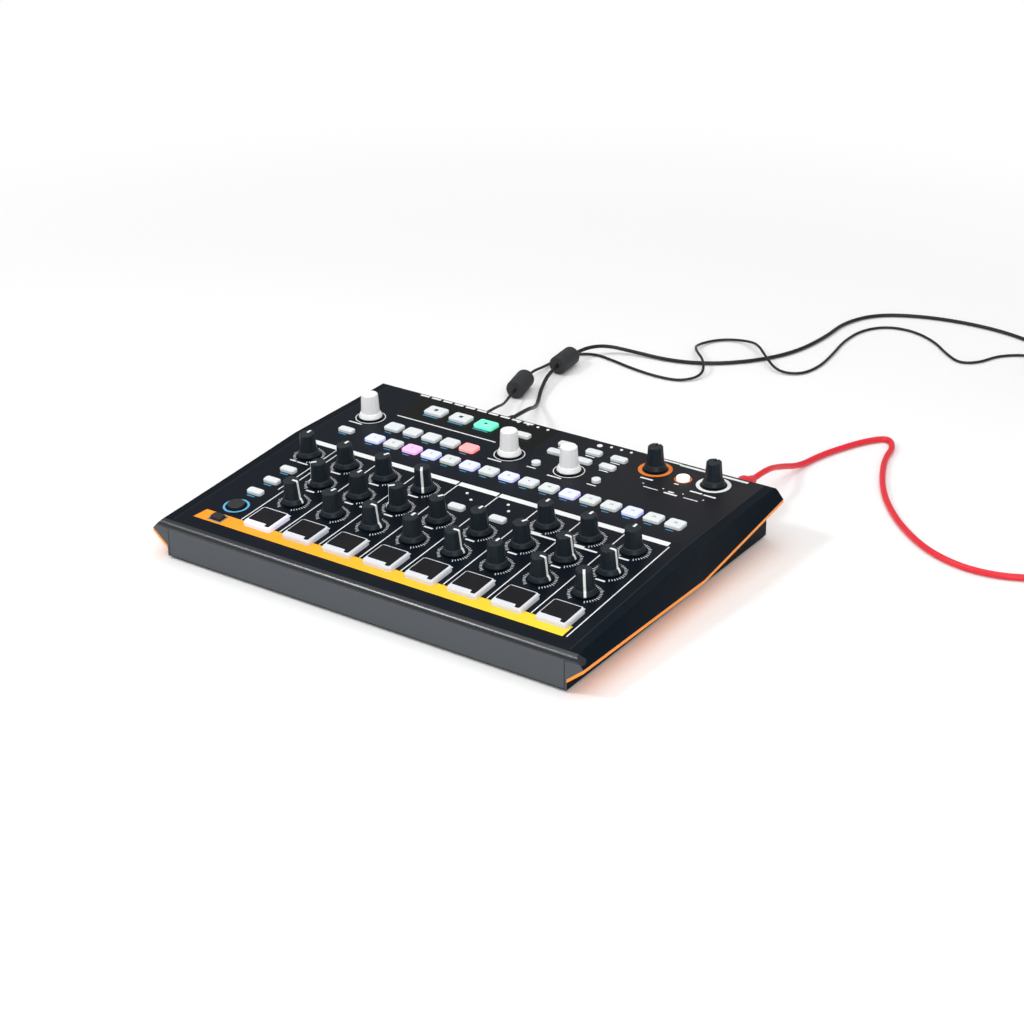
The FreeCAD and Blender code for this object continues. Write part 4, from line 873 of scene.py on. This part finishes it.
def dress_buttons():
    pale = material("button_white", (0.8, 0.84, 0.85), roughness=0.45, specular=0.4,
                    grain=(1500.0, 0.00001), soft=0.2, dust=0.01)
    violet = material("step_lit", (0.7, 0.72, 0.95), roughness=0.4, dust=0.0,
                      glow=((0.62, 0.68, 1.0), (0.08, 0.1, 0.95)), glow_power=0.5)
    pink = material("step_pink", (0.8, 0.5, 0.8), roughness=0.4, dust=0.0,
                    glow=((0.95, 0.45, 0.9), (0.6, 0.1, 0.6)), glow_power=0.6)
    red = material("mode_lit", (0.9, 0.4, 0.4), roughness=0.4, dust=0.0,
                   glow=((1.0, 0.32, 0.32), (0.9, 0.05, 0.08)), glow_power=0.6)
    green = material("transport_lit", (0.2, 0.7, 0.5), roughness=0.4, dust=0.0,
                     glow=((0.1, 0.85, 0.45), (0.02, 0.5, 0.25)), glow_power=0.8)
    lit = material("round_lit", (0.9, 0.88, 0.86), roughness=0.35, dust=0.0,
                   glow=((1.0, 0.97, 0.93), (1.0, 0.45, 0.2)), glow_power=0.8)
    black = material("button_black", (0.015, 0.016, 0.018), roughness=0.35, specular=0.4)
    steps = [(violet, near(*STEP_SPOTS[i], 7.2)) for i in (0, 3, 5, 7, 10, 13)]
    steps.append((pink, near(*STEP_SPOTS[2], 7.2)))
    paint_parts(NODES["step_buttons"], pale, steps)
    paint_parts(NODES["mode_buttons"], pale, [(red, near(*MODE_SPOTS[4], 7.2))])
    paint_parts(NODES["transport_buttons"], pale, [(green, near(*TRANSPORT_SPOTS[2], 9.5))])
    paint_parts(NODES["rear_function_buttons"], pale, [(lit, near(*LIT_SPOT, 6.0))])
    paint_parts(NODES["front_function_buttons"], pale, [(black, near(*TAP_SPOT, 7.0)),
                                                        (black, near(*SLOT_SPOT, 6.0))])
    figures = Builder()
    for index, (x, distance) in enumerate(STEP_SPOTS):
        figures.text(str(index + 1), 2.6, SIGN_LOW, SIGN_HIGH, on_panel(x, distance))
    figures.write("step_figures", dark_print(), "step_buttons", "button_white")
    signs = Builder()
    signs.ring(0.0, 1.5, SIGN_LOW, SIGN_HIGH, on_panel(*TRANSPORT_SPOTS[0]), steps=24)
    signs.prism(rectangle(-1.3, 1.3, -1.3, 1.3), SIGN_LOW, SIGN_HIGH, on_panel(*TRANSPORT_SPOTS[1]))
    signs.prism([(-1.2, -1.5), (1.6, 0.0), (-1.2, 1.5)], SIGN_LOW, SIGN_HIGH, on_panel(*TRANSPORT_SPOTS[2]))
    signs.write("transport_signs", dark_print(), "transport_buttons", "button_white")
    paint("lamps", material("lamp_lens", (0.8, 0.82, 0.8), roughness=0.15, dust=0.0,
                            glow=((0.5, 0.55, 0.6), (0.3, 0.32, 0.35)), glow_power=0.3))


# Pads

def dress_pads():
    pale = material("pad_rubber", (0.76, 0.78, 0.83), roughness=0.5, specular=0.35,
                    grain=(1400.0, 0.00002), soft=0.35, dust=0.01)
    lit = material("pad_lit", (0.8, 0.8, 0.9), roughness=0.45, dust=0.0,
                   glow=((0.85, 0.82, 1.0), (0.7, 0.65, 1.0)), glow_power=0.25)
    face = material("pad_face", (0.005, 0.005, 0.007), roughness=0.48, specular=0.14,
                    grain=(1700.0, 0.00004), dust=0.02)
    outline = rounded([(5.4, -8.9), (8.8, -8.9), (8.8, 9.3), (-9.4, 9.3), (-9.4, -6.2), (5.4, -6.2)],
                      1.1)
    for index, (x, distance) in enumerate(PAD_SPOTS):
        name = "pad_%d" % (index + 1)
        paint(name, lit if index == 0 else pale)
        builder = Builder()
        builder.prism(outline, FACE_LOW, FACE_HIGH, on_panel(x, distance))
        builder.write(name + "_face", face, name, "pad_rubber")


# Rear panel

def dress_rear():
    black = material("socket_black", (0.02, 0.02, 0.021), roughness=0.5, grain=(1800.0, 0.00002))
    metal = material("socket_metal", (0.6, 0.6, 0.6), roughness=0.28, metallic=1.0)
    wall = (DEPTH / 2 - REAR_WALL) * MM
    jacks = (-24.0, -8.0, 8.0, 24.0, 44.0, 60.0, 78.0, 94.0, 118.0)

    def nut(centre):
        return centre.y > wall + 0.0002 and any(abs(centre.x / MM - x) < 7.0 for x in jacks)

    paint_parts(NODES["rear_sockets"], black, [(metal, nut)])
    paint("power_rocker", material("rocker_black", (0.012, 0.012, 0.013), roughness=0.2,
                                   specular=0.5, grain=(1500.0, 0.00001)))


# Leads

def islands(name):
    """Separate closed solids of a CAD node, as new meshes in order of x."""
    work = bmesh.new()
    work.from_mesh(NODES[name].data)
    bmesh.ops.remove_doubles(work, verts=work.verts, dist=1e-6)
    work.verts.ensure_lookup_table()
    seen = set()
    found = []
    for vertex in work.verts:
        if vertex.index in seen:
            continue
        stack = [vertex]
        seen.add(vertex.index)
        members = []
        while stack:
            here = stack.pop()
            members.append(here)
            for edge in here.link_edges:
                other = edge.other_vert(here)
                if other.index not in seen:
                    seen.add(other.index)
                    stack.append(other)
        order = {v.index: i for i, v in enumerate(members)}
        faces = {f for v in members for f in v.link_faces}
        places = [v.co.copy() for v in members]
        polygons = [[order[v.index] for v in f.verts] for f in faces]
        if len(polygons) > 3:
            found.append((places, polygons))
    work.free()
    return sorted(found, key=lambda item: min(p.x for p in item[0]))


def middle(island):
    """Mean x and y of an island's points, in millimetres."""
    places = island[0]
    x = sum(p.x for p in places) / len(places) / MM
    y = sum(p.y for p in places) / len(places) / MM
    return x, y


def write_island(island, name):
    mesh = bpy.data.meshes.new(name)
    mesh.from_pydata(island[0], [], island[1])
    mesh.shade_smooth()
    mesh.set_sharp_from_angle(angle=math.radians(32))
    piece = bpy.data.objects.new(name, mesh)
    bpy.context.scene.collection.objects.link(piece)
    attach(piece, "case")
    return piece


def coil_reach(coil, diameter):
    """Outer radius of a coil."""
    return coil[0] + coil[1] * diameter / 2


def winding(route, coil, diameter, side, leave):
    """Points, in millimetres, of a lead's run from its route into a neat coil.

    The strand winds round a ring of the coil's outer size, side 1 anticlockwise and
    side -1 clockwise, and leaves at an angle in degrees.
    """
    turns = coil[2]
    outer = coil_reach(coil, diameter)
    end = Vector((route[-1][0], route[-1][1]))
    before = Vector((route[-2][0], route[-2][1]))
    centre = end + (end - before).normalized() * (outer + 0.3)
    bundle = 1.02 * diameter / (2 * math.sin(math.pi / turns))
    ring = outer - bundle - diameter / 2
    level = bundle + diameter / 2 + 0.1
    reach = ring + bundle
    away = before - centre
    tangent = math.acos(reach / away.length)
    start = math.atan2(away.y, away.x) + side * tangent
    touch = centre + Vector((math.cos(start), math.sin(start))) * reach
    lift = touch + (before - touch) * 0.4
    points = [tuple(p) for p in route[:-1]]
    halfway = touch + (before - touch) * 0.75
    points.append((halfway.x, halfway.y, (route[-2][2] + level) / 2 - 1.0))
    points.append((lift.x, lift.y, level))
    sweep = (side * (math.radians(leave) - start)) % (2 * math.pi) + 2 * math.pi * (turns - 1)
    steps = int(sweep / (2 * math.pi) * 20)
    grow = 1 / math.cos(math.pi / 20)
    for i in range(steps + 1):
        travel = sweep * i / steps
        angle = start + side * travel
        twist = travel / turns
        radius = (ring + bundle * math.cos(twist)) * grow
        points.append((centre.x + radius * math.cos(angle), centre.y + radius * math.sin(angle),
                       level + bundle * math.sin(twist)))
    return points, centre, points[-1]


def arrive(centre, last, target, stop, leave):
    """Points that swing out from a coil to a plug beside it."""
    points = []
    start_r = math.hypot(last[0] - centre.x, last[1] - centre.y)
    stop_r = target[1] - centre.y
    for share in (0.25, 0.5, 0.75):
        angle = math.radians(leave + (stop - leave) * share)
        eased = share * share * (3 - 2 * share)
        radius = start_r + (stop_r - start_r) * eased
        z = last[2] + (target[2] - last[2]) * eased
        points.append((centre.x + radius * math.cos(angle),
                       centre.y + radius * math.sin(angle), z))
    points.append((centre.x + 8.0, target[1], target[2]))
    points.append(target)
    return points


def make_lead(name, points, diameter, made):
    """Round lead that follows points given in millimetres."""
    curve = bpy.data.curves.new(name, "CURVE")
    curve.dimensions = "3D"
    curve.bevel_depth = diameter * MM / 2
    curve.bevel_resolution = 5
    curve.use_fill_caps = True
    spline = curve.splines.new("NURBS")
    spline.points.add(len(points) - 1)
    for slot, point in zip(spline.points, points):
        slot.co = (*row(*point), 1.0)
    spline.order_u = 3
    spline.use_endpoint_u = True
    spline.resolution_u = 6
    curve.materials.append(made)
    lead = bpy.data.objects.new(name, curve)
    bpy.context.scene.collection.objects.link(lead)
    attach(lead, "case")
    return lead


def make_boot(name, start, heading, long, wide, narrow, made):
    """Ribbed strain relief that tapers along a heading, from a point in millimetres."""
    builder = Builder()
    base = row(*start)
    along = Vector(heading).normalized()
    side = along.orthogonal().normalized()
    up = along.cross(side)
    profile = []
    ribs = 5
    for i in range(ribs):
        a = i / ribs
        b = (i + 0.55) / ribs
        c = (i + 1) / ribs
        for share, cut in ((a, 0.0), (b, 0.0), (b, 0.35), (c, 0.35)):
            profile.append((share * long, wide + (narrow - wide) * share - cut))
    steps = 28
    for along_by, radius in profile:
        for k in range(steps):
            angle = 2 * math.pi * k / steps
            offset = (side * math.cos(angle) + up * math.sin(angle)) * radius
            builder.verts.append(base + (along * along_by + offset) * MM)
    for i in range(len(profile) - 1):
        for k in range(steps):
            m = (k + 1) % steps
            a = i * steps
            b = a + steps
            builder.faces.append([a + k, a + m, b + m, b + k])
    builder.faces.append(list(reversed(range(steps))))
    last = (len(profile) - 1) * steps
    builder.faces.append([last + k for k in range(steps)])
    return builder.write(name, made, "case", "fitting_black")


def lay_leads():
    red = material("lead_red", (0.78, 0.018, 0.035), roughness=0.42, specular=0.4,
                   grain=(1500.0, 0.00001), dust=0.0)
    black = material("lead_black", (0.008, 0.008, 0.01), roughness=0.4, specular=0.35,
                     grain=(1500.0, 0.00001), dust=0.01)
    fitting = material("fitting_black", (0.014, 0.014, 0.016), roughness=0.5, specular=0.3,
                       grain=(1600.0, 0.00003))
    metal = material("plug_metal", (0.7, 0.68, 0.62), roughness=0.22, metallic=1.0)
    core = material("core_grey", (0.03, 0.031, 0.033), roughness=0.6, specular=0.25)

    near_parts = islands("lead_fittings")
    far_parts = islands("far_plugs")
    near_names = []
    for part in near_parts:
        x, y = middle(part)
        if x > 0:
            near_names.append("audio_plug")
        elif y > 200:
            near_names.append("power_core" if x < -110.5 and y < 240 else "usb_core")
        else:
            near_names.append("power_plug" if x < -76 else "usb_plug")
    near_pieces = {}
    for part, name in zip(near_parts, near_names):
        near_pieces[name] = write_island(part, name)
    far_pieces = {}
    for part in far_parts:
        x, y = middle(part)
        name = "audio_far_plug" if x > 260 else "usb_far_plug" if y > 535 else "power_adapter"
        far_pieces[name] = write_island(part, name)
    wall = (DEPTH / 2) * MM
    paint_parts(near_pieces["audio_plug"], red, [(metal, lambda c: c.y < wall + 0.0005)])
    paint_parts(near_pieces["usb_plug"], fitting, [(metal, lambda c: c.y < wall + 0.0003)])
    paint_parts(near_pieces["power_plug"], fitting, [(metal, lambda c: c.y < wall)])
    for name in ("usb_core", "power_core"):
        paint_parts(near_pieces[name], core, [])
    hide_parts("lead_fittings")
    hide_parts("far_plugs")

    points, centre, last = winding(AUDIO_ROUTE, AUDIO_COIL, AUDIO_DIA, 1, 35.0)
    plug_at = centre.y + coil_reach(AUDIO_COIL, AUDIO_DIA) + 6.4
    target = (centre.x - 2.0, plug_at, 6.5)
    points += arrive(centre, last, target, 90.0, 35.0)
    audio = make_lead("audio_lead_line", points, AUDIO_DIA, red)
    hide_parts("audio_lead", "lead_coils")
    grip = far_pieces["audio_far_plug"]
    paint_parts(grip, red, [(metal, lambda c: c.x < (centre.x - 30.0) * MM)])
    boot = make_boot("audio_far_boot", (centre.x + 0.2, plug_at, 6.5), (1, 0, 0), 11.0, 5.0, 2.6,
                     red)
    row(*AUDIO_ROUTE[0])

    points, centre, last = winding(USB_ROUTE, USB_COIL, USB_DIA, 1, 35.0)
    plug_at = centre.y + coil_reach(USB_COIL, USB_DIA) + 7.5
    target = (centre.x - 2.0, plug_at, 4.2)
    points += arrive(centre, last, target, 90.0, 35.0)
    usb = make_lead("usb_lead_line", points, USB_DIA, black)
    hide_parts("usb_lead")
    grip = far_pieces["usb_far_plug"]
    paint_parts(grip, fitting, [(metal, lambda c: c.x < (centre.x - 20.2) * MM)])
    boot = make_boot("usb_far_boot", (centre.x + 0.2, plug_at, 4.2), (1, 0, 0), 10.0, 3.8, 2.0,
                     fitting)
    row(*USB_ROUTE[0])

    points, centre, last = winding(POWER_ROUTE, POWER_COIL, POWER_DIA, -1, 70.0)
    inlet = coil_reach(POWER_COIL, POWER_DIA) + 15.0
    for u, v, z in ((-25.2, 18.0, 2.4), (-20.0, 21.0, 3.6), (-14.2, 26.4, 6.0), (-8.8, 33.4, 8.8),
                    (-2.0, 35.4, 11.6), (0.0, 29.0, 13.0), (0.0, 20.5, 13.2)):
        points.append((centre.x + inlet + u, centre.y + v, z))
    power = make_lead("power_lead_line", points, POWER_DIA, black)
    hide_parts("power_lead")
    brick = far_pieces["power_adapter"]
    paint_parts(brick, fitting, [(metal, lambda c: c.y < (centre.y - DEPTH / 2 - 22.1) * MM)])
    boot = make_boot("power_far_boot", (centre.x + inlet, centre.y + 21.9, 13.2), (0, 1, 0), 7.0,
                     3.0, 1.5, fitting)
    row(*POWER_ROUTE[0])


# Stage

def set_stage(settings):
    scene = bpy.context.scene
    eye = (0.705185, -0.966165, 0.61046)
    yaw = -0.608
    pitch = 0.456
    roll = -0.011
    ahead = Vector((math.sin(yaw) * math.cos(pitch), math.cos(yaw) * math.cos(pitch),
                    -math.sin(pitch)))
    right = ahead.cross(Vector((0, 0, 1))).normalized()
    up = right.cross(ahead)
    turned_right = right * math.cos(roll) + up * math.sin(roll)
    turned_up = up * math.cos(roll) - right * math.sin(roll)
    lens = bpy.data.cameras.new("camera")
    lens.lens = settings.lens
    lens.sensor_width = 36.0
    lens.sensor_fit = "HORIZONTAL"
    lens.clip_start = 0.05
    lens.clip_end = 50.0
    camera = bpy.data.objects.new("camera", lens)
    turn = Matrix((turned_right, turned_up, -ahead)).transposed()
    camera.matrix_world = Matrix.Translation(eye) @ turn.to_4x4()
    scene.collection.objects.link(camera)
    scene.camera = camera
    scene.view_settings.view_transform = "Standard"

    mesh = bpy.data.meshes.new("floor")
    size = 8.0
    level = -0.0002
    corners = [(x, y, level) for x, y in rectangle(-size, size, -size, size)]
    mesh.from_pydata(corners, [], [(0, 1, 2, 3)])
    floor = bpy.data.objects.new("floor", mesh)
    scene.collection.objects.link(floor)
    pale = bpy.data.materials.new("floor_pale")
    pale.use_nodes = True
    tree = pale.node_tree
    shader = tree.nodes["Principled BSDF"]
    shader.inputs["Base Color"].default_value = (0.93, 0.93, 0.93, 1.0)
    shader.inputs["Roughness"].default_value = 0.9
    shader.inputs["Specular IOR Level"].default_value = 0.1
    white = tree.nodes.new("ShaderNodeEmission")
    path = tree.nodes.new("ShaderNodeLightPath")
    seen = math_node(tree, "MAXIMUM", path.outputs["Is Camera Ray"], path.outputs["Is Glossy Ray"])
    seen = math_node(tree, "MAXIMUM", seen, path.outputs["Is Transmission Ray"])
    spot = tree.nodes.new("ShaderNodeTexCoord")
    length = tree.nodes.new("ShaderNodeVectorMath")
    length.operation = "LENGTH"
    tree.links.new(spot.outputs["Object"], length.inputs[0])
    far = tree.nodes.new("ShaderNodeMapRange")
    far.interpolation_type = "SMOOTHSTEP"
    far.inputs["From Min"].default_value = 0.35
    far.inputs["From Max"].default_value = 1.0
    tree.links.new(length.outputs["Value"], far.inputs["Value"])
    share = math_node(tree, "MULTIPLY", seen, far.outputs["Result"])
    blend = tree.nodes.new("ShaderNodeMixShader")
    tree.links.new(share, blend.inputs["Fac"])
    tree.links.new(shader.outputs["BSDF"], blend.inputs[1])
    tree.links.new(white.outputs["Emission"], blend.inputs[2])
    tree.links.new(blend.outputs["Shader"], tree.nodes["Material Output"].inputs["Surface"])
    mesh.materials.append(pale)

    world = bpy.data.worlds.new("room")
    world.use_nodes = True
    background = world.node_tree.nodes["Background"]
    background.inputs["Color"].default_value = (1.0, 1.0, 1.0, 1.0)
    background.inputs["Strength"].default_value = settings.world
    scene.world = world

    for name, place, aim, power, size in (
            ("top_light", (0.1, 0.15, 1.7), (0.1, 0.15, 0.0), settings.key, 1.8),
            ("side_light", (1.2, -1.3, 0.9), (0.0, 0.0, 0.0), 16.0, 1.0),
            ("front_light", (-0.95, -0.85, 1.35), (0.0, -0.1, 0.0), 10.0, 0.3)):
        lamp = bpy.data.lights.new(name, "AREA")
        lamp.shape = "SQUARE"
        lamp.size = size
        lamp.energy = power
        holder = bpy.data.objects.new(name, lamp)
        holder.location = place
        holder.rotation_euler = (Vector(aim) - Vector(place)).to_track_quat("-Z", "Y").to_euler()
        scene.collection.objects.link(holder)


# Operators

class DRUM_OT_case(bpy.types.Operator):
    """Paint the case, its cheeks and what is inside it"""

    bl_idname = "drum_machine.case"
    bl_label = "Dress the case"

    def execute(self, context):
        dress_case()
        return {"FINISHED"}


class DRUM_OT_print(bpy.types.Operator):
    """Print the lines, rings and colour strip on the panel"""

    bl_idname = "drum_machine.panel_print"
    bl_label = "Print the panel"

    def execute(self, context):
        print_panel(context.scene.drum_panel)
        return {"FINISHED"}


class DRUM_OT_dials(bpy.types.Operator):
    """Colour the dials and add their pointers"""

    bl_idname = "drum_machine.dials"
    bl_label = "Dress the dials"

    def execute(self, context):
        dress_dials(context.scene.drum_dials)
        return {"FINISHED"}


class DRUM_OT_buttons(bpy.types.Operator):
    """Colour the buttons and lamps and add their figures"""

    bl_idname = "drum_machine.buttons"
    bl_label = "Dress the buttons"

    def execute(self, context):
        dress_buttons()
        return {"FINISHED"}


class DRUM_OT_pads(bpy.types.Operator):
    """Colour the pads and lay on their black faces"""

    bl_idname = "drum_machine.pads"
    bl_label = "Dress the pads"

    def execute(self, context):
        dress_pads()
        return {"FINISHED"}


class DRUM_OT_rear(bpy.types.Operator):
    """Colour the sockets and the power switch"""

    bl_idname = "drum_machine.rear"
    bl_label = "Dress the rear"

    def execute(self, context):
        dress_rear()
        return {"FINISHED"}


class DRUM_OT_leads(bpy.types.Operator):
    """Lay the three leads with their plugs"""

    bl_idname = "drum_machine.leads"
    bl_label = "Lay the leads"

    def execute(self, context):
        lay_leads()
        return {"FINISHED"}


class DRUM_OT_stage(bpy.types.Operator):
    """Set the camera, lights and floor"""

    bl_idname = "drum_machine.stage"
    bl_label = "Set the stage"

    def execute(self, context):
        set_stage(context.scene.drum_stage)
        return {"FINISHED"}


OPERATORS = (DRUM_OT_case, DRUM_OT_print, DRUM_OT_dials, DRUM_OT_buttons, DRUM_OT_pads,
             DRUM_OT_rear, DRUM_OT_leads, DRUM_OT_stage)
SETTINGS = (("drum_panel", PanelSettings), ("drum_dials", DialSettings),
            ("drum_leads", LeadSettings), ("drum_stage", StageSettings))


class DRUM_PT_sidebar(bpy.types.Panel):
    """Sidebar with every setting and step"""

    bl_label = "Drum machine"
    bl_idname = "DRUM_PT_sidebar"
    bl_space_type = "VIEW_3D"
    bl_region_type = "UI"
    bl_category = "Drum machine"

    def draw(self, context):
        for name, settings in SETTINGS:
            column = self.layout.column()
            held = getattr(context.scene, name)
            for label in settings.__annotations__:
                column.prop(held, label)
        for operator in OPERATORS:
            self.layout.operator(operator.bl_idname)


def register():
    for name, settings in SETTINGS:
        bpy.utils.register_class(settings)
        setattr(bpy.types.Scene, name, bpy.props.PointerProperty(type=settings))
    for operator in OPERATORS:
        bpy.utils.register_class(operator)
    bpy.utils.register_class(DRUM_PT_sidebar)


def unregister():
    bpy.utils.unregister_class(DRUM_PT_sidebar)
    for operator in reversed(OPERATORS):
        bpy.utils.unregister_class(operator)
    for name, settings in reversed(SETTINGS):
        delattr(bpy.types.Scene, name)
        bpy.utils.unregister_class(settings)


def main():
    register()
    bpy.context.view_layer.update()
    bpy.ops.drum_machine.case()
    bpy.ops.drum_machine.panel_print()
    bpy.ops.drum_machine.dials()
    bpy.ops.drum_machine.buttons()
    bpy.ops.drum_machine.pads()
    bpy.ops.drum_machine.rear()
    bpy.ops.drum_machine.leads()
    bpy.ops.drum_machine.stage()


if __name__ == "__main__":
    main()
